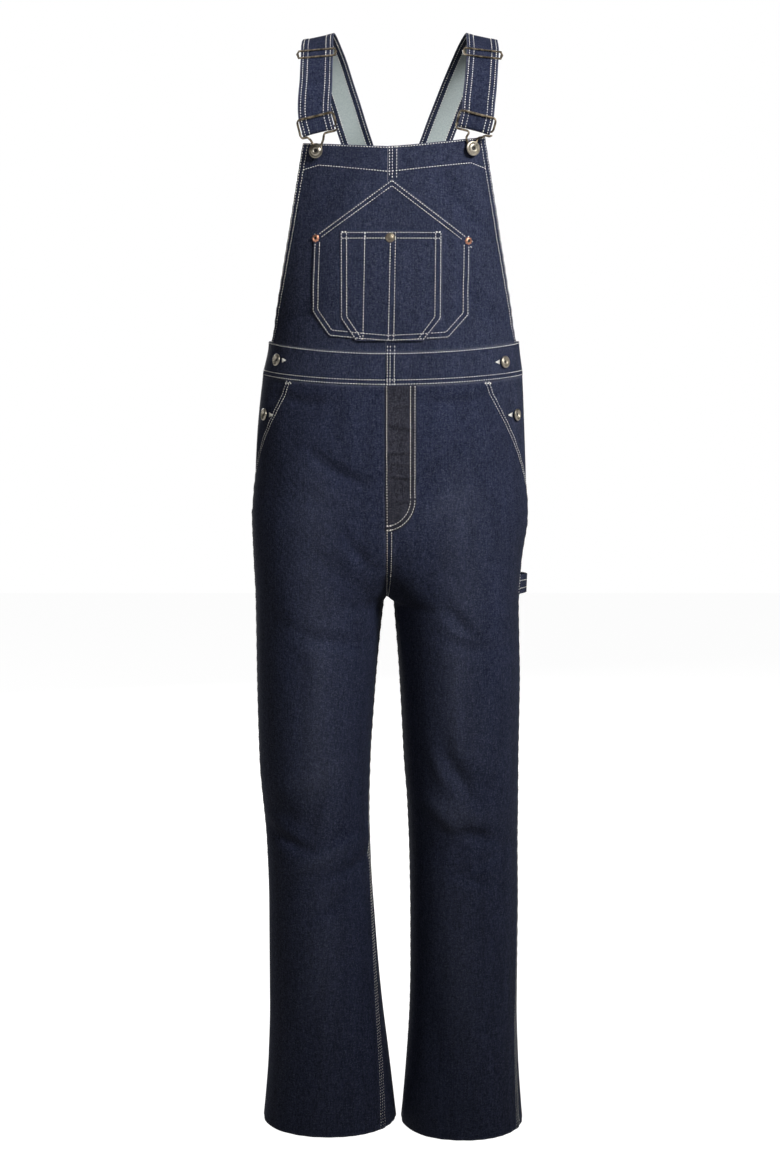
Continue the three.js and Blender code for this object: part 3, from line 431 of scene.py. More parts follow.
def waist_seam(angle):
    return WAIST_SEAM - WAIST_DIP["seam"] * np.maximum(0, np.sin(angle)) ** 2


def waist_top(angle):
    return WAIST_TOP - WAIST_DIP["top"] * np.maximum(0, np.sin(angle)) ** 2


def gaps_along(points, axis):
    """Distances in millimetres from the first line of a grid along an axis"""
    steps = np.linalg.norm(np.diff(points, axis=axis), axis=-1)
    start = np.zeros_like(np.take(steps, [0], axis=axis))
    return np.concatenate([start, np.cumsum(steps, axis=axis)], axis=axis)


def border_distances(points):
    """How far each grid point lies from the top, bottom, start and end of its panel"""
    across, down = gaps_along(points, 1), gaps_along(points, 0)
    return {"top": down, "bottom": down[-1:] - down, "start": across, "end": across[:, -1:] - across}


def closed_sheet(name, outer, inner, wear_and_painted_light, face, lining, rim=0.5, lined=None):
    """A closed sheet of cloth between two grids of points, with its turned edges rounded.
    lined says which faces of the inner side show the lining finish."""
    rows, columns = outer.shape[:2]
    count = rows * columns
    points = np.concatenate([outer.reshape(-1, 3), inner.reshape(-1, 3)]) * 0.001
    at = np.arange(count).reshape(rows, columns)
    front = np.stack([at[:-1, :-1], at[1:, :-1], at[1:, 1:], at[:-1, 1:]], axis=-1).reshape(-1, 4)
    ring = np.concatenate([at[0, :-1], at[:-1, -1], at[-1, :0:-1], at[:0:-1, 0]])
    after = np.roll(ring, -1)
    edge = np.stack([ring, after, after + count, ring + count], axis=-1)
    quads = np.concatenate([front, front[:, ::-1] + count, edge])
    a, b, c = (points[quads[:, i]] for i in range(3))
    d = points[quads[:, 3]]
    volume = np.sum(a * np.cross(b, c)) + np.sum(a * np.cross(c, d))
    if volume < 0:
        quads = quads[:, ::-1]
    mesh = bpy.data.meshes.new(name)
    mesh.from_pydata(points, [], quads.tolist())
    uv = np.stack([gaps_along(outer, 1), gaps_along(outer, 0)], axis=-1).reshape(-1, 2) * 0.001
    loops = np.zeros(len(mesh.loops), dtype=np.int32)
    mesh.loops.foreach_get("vertex_index", loops)
    mesh.uv_layers.new(name="cloth").data.foreach_set("uv", uv[loops % count].ravel().astype(np.float32))
    rubbed = np.tile(wear_and_painted_light.ravel(), 2).astype(np.float32)
    mesh.attributes.new("wear_and_painted_light", "FLOAT", "POINT").data.foreach_set("value", rubbed)
    side = np.zeros(len(quads), dtype=np.int32)
    side[len(front) : 2 * len(front)] = 1 if lined is None else lined.ravel()
    mesh.polygons.foreach_set("material_index", side)
    mesh.polygons.foreach_set("use_smooth", np.ones(len(quads), dtype=bool))
    mesh.materials.append(face)
    mesh.materials.append(lining)
    mesh.update()
    piece = bpy.data.objects.new(name, mesh)
    bpy.context.scene.collection.objects.link(piece)
    bpy.ops.object.select_all(action="DESELECT")
    piece.select_set(True)
    bpy.context.view_layer.objects.active = piece
    turned = piece.modifiers.new("turned_edge", "BEVEL")
    turned.width = rim * 0.001
    turned.segments = 2
    turned.material = 0
    turned.angle_limit = math.radians(62)
    bpy.ops.object.modifier_apply(modifier=turned.name)
    return piece


def cloth(name, side, angle, z, lift=0.0, wall=WALL, gap=HALF_GAP, ripple=(), fells=(), rubbed=0.05, face=raw_denim, lining=wrong_side):
    """A panel on the worn form. Ripples and raised felled seams follow the named borders.
    Gives the piece, and its outer face's points and normals for the sewing."""
    base = bare(side, angle, z, gap)
    far = border_distances(base)
    pucker = np.zeros_like(z)
    # Paler on the folds' ridges and darker in their troughs, after the folds' height. rubbed adds an even paleness,
    # which down the front of each leg is a painted highlight.
    wear_and_painted_light = 0.03 * np.clip(fold_at(base, angle), -1, 3) + rubbed
    for border, high, period in ripple:
        along = base[..., 2] if border in ("start", "end") else base[..., 0] + 0.6 * base[..., 1]
        phase = 2 * math.pi * along / period + 1.3 * np.sin(along / 31) + 0.9 * np.sin(along / 13.7)
        pucker += high * np.sin(phase) * np.exp(-((far[border] / (0.8 * period)) ** 2))
        wear_and_painted_light += 0.35 * np.exp(-((far[border] / 1.6) ** 2))
    ridge = np.zeros_like(z)
    for border, width, high, low, top in fells:
        reach = smoothstep(z, low - 3, low) * (1 - smoothstep(z, top, top + 3))
        ridge += high * reach * (1 - smoothstep(far[border], width - 1.2, width + 0.6))
        wear_and_painted_light += 0.16 * reach * np.exp(-(((far[border] - width + 0.6) / 1.0) ** 2))
    outer = skin(side, angle, z, lift + pucker + ridge, gap)
    inner = skin(side, angle, z, lift + pucker - wall, gap)
    piece = closed_sheet(name, outer, inner, np.clip(wear_and_painted_light, 0, 1), face, lining)
    facing = np.cross(np.gradient(outer, axis=1), np.gradient(outer, axis=0))
    facing /= np.maximum(np.linalg.norm(facing, axis=-1, keepdims=True), 1e-9)
    inwards = np.sum(facing * outward(side, angle, z), axis=-1, keepdims=True) < 0
    return piece, (outer, np.where(inwards, -facing, facing))


def beside(grid, border, inboard, low=-9999, high=9999):
    """A line that keeps its distance from one border of a grid, with its normals"""
    points, normal = grid
    if border in ("top", "bottom"):
        points, normal = points.swapaxes(0, 1), normal.swapaxes(0, 1)
    if border in ("end", "bottom"):
        points, normal = points[:, ::-1], normal[:, ::-1]
    reach = gaps_along(points, 1)
    line, facing = [], []
    for far, row, out in zip(reach, points, normal):
        at = [np.interp(inboard, far, row[:, i]) for i in range(3)]
        if low <= at[2] <= high:
            line.append(at)
            facing.append([np.interp(inboard, far, out[:, i]) for i in range(3)])
    return np.array(line), np.array(facing)


def on_front(corners, lift, step=2.0, gap=0.0):
    """A line over the front through corners given by x and z, with its normals"""
    line = [np.array(corners[0], float)]
    for end in corners[1:]:
        start = line[-1]
        count = max(int(np.hypot(*(np.array(end) - start)) / step), 1)
        line += [lerp(start, np.array(end, float), (i + 1) / count) for i in range(count)]
    x, z = np.array(line).T
    side = np.where(x < level["centre"](z), -1, 1)
    angle = angle_at(side, x, z, gap)
    return skin(side, angle, z, lift, gap), outward(side, angle, z)


STITCH = {"pitch": 3.2, "long": 2.2, "wide": 0.44, "high": 0.3}


def sew(name, lines, wide=STITCH["wide"], pitch=STITCH["pitch"], long=STITCH["long"]):
    """Rows of topstitching: each stitch is a short bar of thread that dips in at both ends"""
    shape = [(-0.36, 0.75), (0, 1), (0.36, 0.75)]
    points, faces = [], []
    for line, facing in lines:
        if len(line) < 2:
            continue
        far = np.r_[0, np.cumsum(np.linalg.norm(np.diff(line, axis=0), axis=-1))]
        count = int(far[-1] / pitch)
        if count < 1:
            continue
        middles = (np.arange(count) + 0.5) * far[-1] / count

        def along(at, rows):
            return np.stack([np.interp(at, far, rows[:, i]) for i in range(3)], axis=-1)

        middle, out = along(middles, line), along(middles, facing)
        out /= np.linalg.norm(out, axis=-1, keepdims=True)
        run = along(middles + 0.5, line) - along(middles - 0.5, line)
        run /= np.maximum(np.linalg.norm(run, axis=-1, keepdims=True), 1e-9)
        sideways = np.cross(out, run)
        start = len(points)
        rings = [middle - run * long * 0.5 - out * 0.2]
        for share, size in shape:
            at = middle + run * long * share
            for a, b in ((1, 0.0), (0.45, 0.85), (-0.45, 0.85), (-1, 0.0), (0, -0.8)):
                rings.append(at + sideways * wide * size * a + out * (0.1 + STITCH["high"] * size * b))
        rings.append(middle + run * long * 0.5 - out * 0.2)
        block = np.stack(rings, axis=1)
        size = block.shape[1]
        points.extend(block.reshape(-1, 3))
        one = []
        for k in range(5):
            after = (k + 1) % 5
            one.append((0, 1 + after, 1 + k))
            for ring in (0, 1):
                low = 1 + 5 * ring
                one.append((low + k, low + after, low + 5 + after))
                one.append((low + k, low + 5 + after, low + 5 + k))
            one.append((16, 11 + k, 11 + after))
        faces.append((start + np.arange(count)[:, None, None] * size + np.array(one)).reshape(-1, 3))
    mesh = bpy.data.meshes.new(name)
    mesh.from_pydata(np.array(points) * 0.001, [], np.concatenate(faces).tolist())
    mesh.polygons.foreach_set("use_smooth", np.ones(len(mesh.polygons), dtype=bool))
    mesh.materials.append(thread)
    mesh.update()
    piece = bpy.data.objects.new(name, mesh)
    bpy.context.scene.collection.objects.link(piece)
    whole = bmesh.new()
    whole.from_mesh(mesh)
    bmesh.ops.recalc_face_normals(whole, faces=whole.faces)
    whole.to_mesh(mesh)
    whole.free()
    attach(piece, "root")
    return piece


LEG_ROW, LEG_COLUMNS = 3.0, 74
FELL = {"wide": 11, "high": 0.7}
# Where the painted highlight runs down the front of each leg, in x.
HIGHLIGHT_LINE = {-1: -90, 1: 80}
leg_grids = {}
for side, name in ((-1, "right"), (1, "left")):
    mouth_foot = MOUTH[side]["z"]
    heights = np.linspace(WAIST_SEAM, HEM[side], int((WAIST_SEAM - HEM[side]) / LEG_ROW))
    across = np.linspace(0, 1, LEG_COLUMNS)
    nominal, u = np.meshgrid(heights, across, indexing="ij")
    fade = np.clip((nominal - RISE_TOP) / (WAIST_SEAM - RISE_TOP), 0, 1)
    skew = math.radians(SKEW_AT_HEM[side]) * np.clip((SKEW_FROM - nominal) / (SKEW_FROM - HEM[side]), 0, 1) ** 1.3
    depth = level["front"](nominal)
    angle = lerp(mouth_angle(side, nominal), centre_angle(side, nominal, depth), u) + skew
    z = nominal + (waist_seam(angle) - HALF_GAP - WAIST_SEAM) * fade
    ridges = [("start", FELL["wide"], FELL["high"], HEM[side], mouth_foot - 20)]
    ridges += [("end", FELL["wide"], FELL["high"], HEM[side], CROTCH - 12)]
    if side > 0:
        ridges += [("end", 10, FELL["high"], CROTCH + 8, WAIST_SEAM + 20)]
    # Painted highlight: a paler band down the front line of each leg, strong from the hips to the knee and fainter
    # below, where the light falls on the leg's rounded front. It is passed to the cloth as its even paleness.
    across_highlight = bare(side, angle, z, HALF_GAP)[..., 0] - HIGHLIGHT_LINE[side]
    painted_front_highlight = 0.12 * np.exp(-((across_highlight / 30) ** 2)) * smoothstep(-nominal, 440, 560) * lerp(1, 0.3, smoothstep(-nominal, 850, 1100))
    front, front_grid = cloth(
        f"front_leg_{name}_denim", side, angle, z, rubbed=painted_front_highlight,
        ripple=(("top", 0.3, 12), ("start", 0.3, 15), ("end", 0.35, 14), ("bottom", 0.35, 16)),
        fells=ridges,
    )
    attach(front, "root")
    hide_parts(f"front_leg_{name}")
    depth = level["back"](nominal)
    angle = skew - lerp(HALF_GAP / depth, centre_angle(side, nominal, depth), u)
    z = nominal - HALF_GAP * fade
    ridges = [("end", 10, FELL["high"], CROTCH + 8, WAIST_SEAM + 20)] if side > 0 else []
    back, back_grid = cloth(
        f"back_leg_{name}_denim", side, angle, z,
        ripple=(("top", 0.3, 12), ("start", 0.3, 15), ("end", 0.35, 14), ("bottom", 0.35, 16)),
        fells=ridges,
    )
    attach(back, "root")
    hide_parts(f"back_leg_{name}")
    leg_grids[side] = (front_grid, back_grid)
    below_mouth = mouth_foot - 14
    lines = [beside(front_grid, "start", d, low=mouth_foot + 4) for d in (1.8, 6.6)]
    bar = MOUTH[side]["x"] + side * np.array([-7, 2])
    lines += [on_front([(bar[0], low), (bar[1], low)], 0.3, 1, HALF_GAP) for low in (-409.4, -410.2)]
    if side > 0:
        lines += [beside(front_grid, "end", d, low=CROTCH + 2, high=-581) for d in (1.4, 6.6)]
    fronts = sew(f"front_leg_{name}_topstitching", lines)
    lines = [beside(front_grid, "start", d, high=below_mouth) for d in (1.6, 5.6, 9.2)]
    lines += [beside(front_grid, "end", d, high=CROTCH - 6) for d in (1.6, 5.6, 9.2)]
    seams = sew(f"front_leg_{name}_seam_stitching", lines, wide=0.3, pitch=3.6, long=2.2)
    lines = [beside(back_grid, "end", d, low=CROTCH + 2) for d in (1.4, 7.4)] if side > 0 else []
    if lines:
        backs = sew(f"back_leg_{name}_topstitching", lines)

# Side facings. The denim that shows in each slanted pocket mouth, behind the front panel's edge.
FACING_UNDER = 14
for side, name in ((-1, "right"), (1, "left")):
    mouth_foot = MOUTH[side]["z"]
    v, u = np.meshgrid(np.linspace(0, 1.03, 52), np.r_[np.linspace(0, 1, 26), 1.05, 1.1], indexing="ij")
    nominal = lerp(WAIST_SEAM, mouth_foot, v)
    depth = level["front"](nominal)
    edge = mouth_angle(side, nominal)
    angle = lerp(HALF_GAP / depth, edge, np.minimum(u, 1)) + 0.004 * u
    angle += np.where(u > 1, FACING_UNDER / depth * (u - 1) / 0.1, 0)
    fade = np.clip((nominal - RISE_TOP) / (WAIST_SEAM - RISE_TOP), 0, 1)
    z = nominal + (waist_seam(angle) - HALF_GAP - WAIST_SEAM) * fade
    sink = (WALL + 0.6) * (1 - smoothstep((edge - angle) * depth, 4, 22))
    facing, facing_grid = cloth(f"side_facing_{name}_denim", side, angle, z, lift=-sink, ripple=(("top", 0.3, 12),))
    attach(facing, "root")
    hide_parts(f"side_facing_{name}")
    placket = sew(f"side_facing_{name}_topstitching", [beside(facing_grid, "start", 3, low=-520)])

# Fly. A false fly: a strip sewn flat over the left front, with a quarter curve at its foot.
FLY = {"reach": 36, "straight": -545, "foot": -583, "base": 0.8, "wall": 1.2}
heights = np.r_[np.linspace(WAIST_SEAM, FLY["straight"], 110), FLY["straight"] + (FLY["foot"] - FLY["straight"]) * np.sin(np.linspace(0.06, 1.55, 22))]
nominal, u = np.meshgrid(heights, np.linspace(0, 1, 14), indexing="ij")
past = np.clip((FLY["straight"] - nominal) / (FLY["straight"] - FLY["foot"]), 0, 1)
reach = FLY["reach"] * np.sqrt(np.maximum(1 - past**2, 0.0004))
x = level["centre"](nominal) + HALF_GAP + lerp(0.4, reach, u)
angle = angle_at(1, x, nominal)
fade = np.clip((nominal - FLY["straight"]) / (WAIST_SEAM - FLY["straight"]), 0, 1)
z = nominal + (waist_seam(angle) - HALF_GAP - WAIST_SEAM) * fade
wrinkles = np.zeros_like(nominal)
for spot, lean, deep in ((-430, 3, 0.7), (-457, -6, 1.3), (-472, 4, 0.6), (-489, 2, 1.2), (-503, -4, 0.7), (-520, -3, 1.4), (-549, 3, 1.2)):
    middle = spot + lean * (u - 0.5) + 2.5 * (u - 0.5) ** 2
    ridge = 1.4 * np.exp(-(((nominal - middle - 3.4) / 3) ** 2)) - 0.5 * np.exp(-(((nominal - middle) / 2) ** 2))
    wrinkles += deep * ridge * np.sin(np.pi * u) ** 0.7
fly, fly_grid = cloth("fly_denim", 1, angle, z, lift=FLY["base"] + FLY["wall"] + wrinkles, wall=FLY["wall"], face=fly_denim)
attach(fly, "root")
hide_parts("fly")
lines = [beside(fly_grid, "start", 1.0, low=-578)]
lines += [beside(fly_grid, "end", d, low=FLY["straight"] + 1) for d in (1.8, 7)]
for inset in (1.8, 7):
    turn = np.linspace(0, math.pi / 2, 24)
    curve = [
        (level["centre"](FLY["straight"]) + (FLY["reach"] - inset) * math.cos(t), FLY["straight"] + (FLY["foot"] - FLY["straight"] + inset) * math.sin(t))
        for t in turn
    ]
    lines.append(on_front(curve, FLY["base"] + FLY["wall"] + 0.1))
    tack = FLY["foot"] + inset
    lines += [on_front([(-6, tack + rise), (1.5, tack + rise + 0.8)], FLY["base"] + FLY["wall"] + 0.3, 1) for rise in (-0.5, 0.5)]
fly_sewing = sew("fly_topstitching", lines)

# Waistband. Two front halves joined by a felled seam, and one back band, each a strip of denim
# that is topstitched once along its top and twice along the seam to the legs.
BAND_ROWS = 14
MIDDLE_FELL = 12
MIDDLE_ROWS = (1.9, 5.2, 10.2)
for side, name in ((-1, "right"), (1, "left")):
    v, u = np.meshgrid(np.linspace(0, 1, BAND_ROWS), np.linspace(0, 1, 56), indexing="ij")
    angle = lerp(HALF_GAP / level["front"](WAIST_TOP), math.pi / 2, u)
    z = lerp(waist_top(angle), waist_seam(angle), v)
    ridges = [("end", MIDDLE_FELL, FELL["high"], -9999, 9999)] if side > 0 else []
    band, grid = cloth(
        f"waistband_{name}_denim", side, angle, z, lift=0.5, wall=WALL + 0.5,
        ripple=(("top", 0.25, 12), ("bottom", 0.3, 12)), fells=ridges,
    )
    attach(band, "root")
    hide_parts(f"waistband_{name}")
    lines = [beside(grid, "top", 1.6)] + [beside(grid, "bottom", d) for d in (1.8, 6.8)] + [beside(grid, "start", 3)]
    if side > 0:
        lines += [beside(grid, "end", d) for d in MIDDLE_ROWS]
    sewing = sew(f"waistband_{name}_topstitching", lines)
v, w = np.meshgrid(np.linspace(0, 1, BAND_ROWS), np.linspace(-1, 1, 111), indexing="ij")
side = np.where(w < 0, -1, 1)
angle = -lerp(math.pi / 2, HALF_GAP / level["back"](WAIST_TOP), np.abs(w))
z = lerp(WAIST_TOP, WAIST_SEAM, v)
back_band, grid = cloth("waistband_back_denim", side, angle, z, lift=0.5, wall=WALL + 0.5, gap=0, ripple=(("top", 0.25, 12), ("bottom", 0.3, 12)))
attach(back_band, "root")
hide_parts("waistband_back")
sewing = sew("waistband_back_topstitching", [beside(grid, "top", 1.6)] + [beside(grid, "bottom", d) for d in (1.8, 6.8)])

# Bib. Two halves felled together down the centre, with a facing turned in along the top.
bib_edge = {-1: {"top": -103, "bottom": -144}, 1: {"top": 110, "bottom": 151}}
bib_top = {"centre": -136, -1: -131, 1: -123.5}
for side, name in ((-1, "right"), (1, "left")):
    edge = bib_edge[side]
    v, u = np.meshgrid(np.linspace(0, 1, 84), np.linspace(0, 1, 48), indexing="ij")
    nominal = lerp(bib_top["centre"], WAIST_TOP, v)
    x = lerp(level["centre"](nominal), lerp(edge["top"], edge["bottom"], v), u)
    angle = angle_at(side, x, nominal)
    top = lerp(bib_top["centre"], bib_top[side], u**1.3)
    z = lerp(top, waist_top(angle) + HALF_GAP, v)
    angle = angle_at(side, x, z)
    ridges = [("start", MIDDLE_FELL, FELL["high"], -9999, 9999)] if side > 0 else []
    bib, grid = cloth(
        f"bib_{name}_denim", side, angle, z,
        ripple=(("top", 0.25, 13), ("bottom", 0.3, 12), ("end", 0.3, 14)), fells=ridges,
    )
    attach(bib, "root")
    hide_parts(f"bib_{name}")
    lines = [beside(grid, "top", 1.6)] + [beside(grid, "end", d) for d in (1.8, 7.0)]
    if side > 0:
        lines += [beside(grid, "start", d, low=-173) for d in MIDDLE_ROWS]
        lines += [beside(grid, "start", d, high=-362) for d in MIDDLE_ROWS]
        lines += [on_front([(8.4, -164), (93, -154), (111, -160)], 0.1), on_front([(-3.9, -165), (8.4, -164)], 0.1 + FELL["high"])]
    else:
        lines += [on_front([(-103, -162), (-84, -157), (-4.1, -165)], 0.1)]
    sewing = sew(f"bib_{name}_topstitching", lines)

# Bib pocket. A patch cut like the front of a house, turned in all round and sewn twice.
PATCH = {"base": 0.05, "wall": 1.4}
house = {
    "apex": (1, -173.5),
    -1: {"eave": (-89.5, -239), "side": (-93, -325), "foot": (-72, -355)},
    1: {"eave": (92, -242), "side": (91, -330), "foot": (67, -357)},
    "bottom": -361,
}


def house_spot(u, v):
    """A place on the pocket: u runs from its left edge in the picture to its right, v from the roof down"""
    x, z = np.zeros_like(u), np.zeros_like(u)
    for side in (-1, 1):
        half, t = house[side], np.abs(u)
        apex_x, apex_z = house["apex"]
        foot = abs(half["foot"][0] - apex_x) / abs(half["side"][0] - apex_x)
        roof = lerp(apex_z, half["eave"][1], t)
        flat_sole = lerp(house["bottom"], half["foot"][1], t / foot)
        sloped_sole = lerp(half["foot"][1], half["side"][1], (t - foot) / (1 - foot))
        sole = np.where(t < foot, flat_sole, sloped_sole)
        x_here = lerp(apex_x, lerp(half["eave"][0], half["side"][0], v), t)
        here = (u < 0) if side < 0 else (u >= 0)
        x, z = np.where(here, x_here, x), np.where(here, lerp(roof, sole, v), z)
    return x, z


foot_share = 0.76
halves = np.r_[np.linspace(0, foot_share, 30), np.linspace(foot_share, 1, 10)[1:]]
v, u = np.meshgrid(np.linspace(0, 1, 70), np.r_[-halves[:0:-1], halves], indexing="ij")
x, z = house_spot(u, v)
side = np.where(x < level["centre"](z), -1, 1)
puff = 1.1 * np.sin(np.pi * np.clip(v, 0, 1)) ** 0.7 * np.exp(-(((np.abs(u) - 0.72) / 0.3) ** 2))
pocket, pocket_grid = cloth(
    "bib_pocket_denim", side, angle_at(side, x, z, 0), z, gap=0,
    lift=PATCH["base"] + PATCH["wall"] + puff, wall=PATCH["wall"],
    ripple=(("top", 0.25, 13), ("bottom", 0.3, 13), ("start", 0.25, 12), ("end", 0.25, 12)),
)
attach(pocket, "root")
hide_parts("bib_pocket")
POCKET_TOP = PATCH["base"] + PATCH["wall"] + 0.15
pocket_rows = [
    [(-83, -236.5), (1, -175.7), (86, -239.6)],
    [(-80.5, -240), (1, -181.6), (82, -242.6)],
    [(-87.7, -247), (-91.1, -324.4), (-71.2, -353.2), (-42, -356)],
    [(-82.3, -245), (-85.5, -322.6), (-68.6, -347.3), (-50, -349.2)],
    [(89.9, -250), (89.2, -329.3), (66.2, -355.2), (38, -356.8)],
    [(84.4, -248), (83.6, -327.4), (63.8, -349.6), (46, -350.8)],
]
pocket_tacks = [[(-90, -235), (-86, -238)], [(-83, -247), (-82, -251)], [(91, -238), (88, -240)], [(95, -246), (93, -243)], [(91, -250), (94, -252)]]
lines = []
for corners in [pair for row in pocket_rows + pocket_tacks for pair in zip(row, row[1:])]:
    line, facing = on_front(corners, POCKET_TOP)
    v_here = np.clip((line[:, 2] - house["apex"][1]) / (house["bottom"] - house["apex"][1]), 0, 1)
    swell = 1.1 * np.sin(np.pi * v_here) ** 0.7 * np.exp(-(((np.abs(line[:, 0]) / 91 - 0.72) / 0.3) ** 2))
    lines.append((line + facing * swell[:, None] * 0.9, facing))
sewing = sew("bib_pocket_topstitching", lines)

# Pen pocket. A smaller patch on the first, with cut-off lower corners, sewn into two parts.
pen = {-1: {"edge": -59, "foot": -41}, 1: {"edge": 59, "foot": 38}, "top": -233, "side": -334}
v, w = np.meshgrid(np.linspace(0, 1, 46), np.linspace(-1, 1, 52), indexing="ij")
x = lerp(pen[-1]["edge"], pen[1]["edge"], (w + 1) / 2)
foot = np.where(w < 0, pen[-1]["foot"], pen[1]["foot"])
edge = np.where(w < 0, pen[-1]["edge"], pen[1]["edge"])
past = np.clip((x - foot) / (edge - foot), 0, 1)
z = lerp(pen["top"], lerp(house["bottom"] + 0.8, pen["side"], past), v)
side = np.where(x < level["centre"](z), -1, 1)
PEN_LIFT = 2 * (PATCH["base"] + PATCH["wall"]) + 0.3
pen_pocket, pen_grid = cloth(
    "pen_pocket_denim", side, angle_at(side, x, z, 0), z, gap=0, lift=PEN_LIFT, wall=PATCH["wall"],
    ripple=(("bottom", 0.25, 13), ("start", 0.25, 12), ("end", 0.25, 12)),
)
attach(pen_pocket, "root")
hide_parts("pen_pocket")
pen_rows = [
    [(-57, -235), (57, -235)],
    [(-57, -241.5), (57, -241.5)],
    [(-57, -235), (-57, -333.4), (-40, -358.8)],
    [(-51, -235), (-51, -331.8), (-33, -358.8)],
    [(57.2, -235), (56.6, -333.4), (36.6, -358.8)],
    [(51.2, -235), (50.4, -331.8), (30.4, -358.8)],
    [(-30, -234.6), (-32.5, -358.8)],
    [(-0.8, -247), (-3.2, -359.3)],
    [(5.2, -235), (3, -359.3)],
    [(-41, -356.4), (-3, -359.2), (36, -357.4)],
    [(-46, -349.8), (-3, -353.4), (42, -351.2)],
]
pen_tacks = [[(-57.5, low), (-50.5, low)] for low in (-233.9, -234.6)] + [[(50.5, low), (57.7, low)] for low in (-233.9, -234.6)]
pen_tacks += [[(across, -233.6), (across, -241.5)] for across in (-30.3, -29.6)]
pen_lines = [pair for row in pen_rows + pen_tacks for pair in zip(row, row[1:])]
sewing = sew("pen_pocket_topstitching", [on_front(corners, PEN_LIFT + 0.15) for corners in pen_lines])

# Back bib. One panel that narrows in two hollow curves up to where the straps are sewn in.
back_bib_shape = {"top": -194, -1: {"top": -42, "foot": -138}, 1: {"top": 48, "foot": 145}, "hollow": 1.7}
v, w = np.meshgrid(np.linspace(0, 1, 62), np.linspace(-1, 1, 83), indexing="ij")
z = lerp(back_bib_shape["top"], WAIST_TOP + HALF_GAP, v)
side = np.where(w < 0, -1, 1)
top_x = np.where(w < 0, back_bib_shape[-1]["top"], back_bib_shape[1]["top"])
foot_x = np.where(w < 0, back_bib_shape[-1]["foot"], back_bib_shape[1]["foot"])
x = lerp(level["centre"](z), lerp(top_x, foot_x, v ** back_bib_shape["hollow"]), np.abs(w))
back_bib, grid = cloth(
    "back_bib_denim", side, -angle_at(side, x, z, 0), z, gap=0,
    ripple=(("top", 0.2, 12), ("bottom", 0.3, 12), ("start", 0.3, 13), ("end", 0.3, 13)),
)
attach(back_bib, "root")
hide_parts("back_bib")
lines = [beside(grid, border, d) for border in ("start", "end") for d in (1.8, 7.0)] + [beside(grid, "top", d) for d in (2, 8, 30)]
sewing = sew("back_bib_topstitching", lines)

# Hammer loop. A strip of denim sewn into the left outseam that bows out to carry a tool.
LOOP = {"top": -649, "height": 24, "from": 2, "to": 44, "stand": 16, "wall": 1.6}
v, u = np.meshgrid(np.linspace(0, 1, 12), np.linspace(0, 1, 48), indexing="ij")
bow = np.sin(math.pi * np.clip((u - 0.1) / 0.8, 0, 1))
hammer_loop, grid = cloth(
    "hammer_loop_denim", 1, -np.radians(lerp(LOOP["from"], LOOP["to"], u)), LOOP["top"] - LOOP["height"] * v,
    lift=0.6 + LOOP["wall"] + LOOP["stand"] * bow**1.4, wall=LOOP["wall"], lining=raw_denim,
)
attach(hammer_loop, "root")
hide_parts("hammer_loop")
sewing = sew("hammer_loop_topstitching", [beside(grid, "top", 7), beside(grid, "bottom", 7)])

# Straps. Each is a strip of denim with its edges folded in to 38 mm, so the pale wrong side shows
# between two dark bands underneath. It runs from the back bib over the shoulder, through the
# slider, down round the buckle's bar, and back up inside as far as the slider.
STRAP = {"thick": 2, "tail": 3}
WIRE = 1.2
BEND = WIRE + 0.3 + STRAP["thick"] / 2
LAYER_STEP = STRAP["thick"] + 0.5
SLIDER_HEIGHT = -27
strap_stations = table("""
    side   x      y      z       turn
    right  -19    95.5   -193.7  0
    right  -31    96     -152    0
    right  -43    91     -115    0
    right  -59    74     -66     0
    right  -73    48     -26     0
    right  -85    4      0       0
    right  -87    -36    -12     0
    right  -87    -60    -30     0
    right  -87.5  -79    -58     6
    right  -88.6  -92    -84     8
    right  -88    -97    -102    0
    right  -84.5  -99.5  -117    0
    left   24     95.5   -193.7  0
    left   40     96     -152    0
    left   56     91     -115    0
    left   75     74     -66     0
    left   92     48     -26     0
    left   107    4      0       0
    left   108    -36    -12     0
    left   107    -60    -30     0
    left   104.5  -79    -58     0
    left   102    -91    -83     0
    left   100.6  -95.5  -100    0
    left   97     -98    -114.5  0
""")


def unit(vectors):
    return vectors / np.linalg.norm(vectors, axis=-1, keepdims=True)


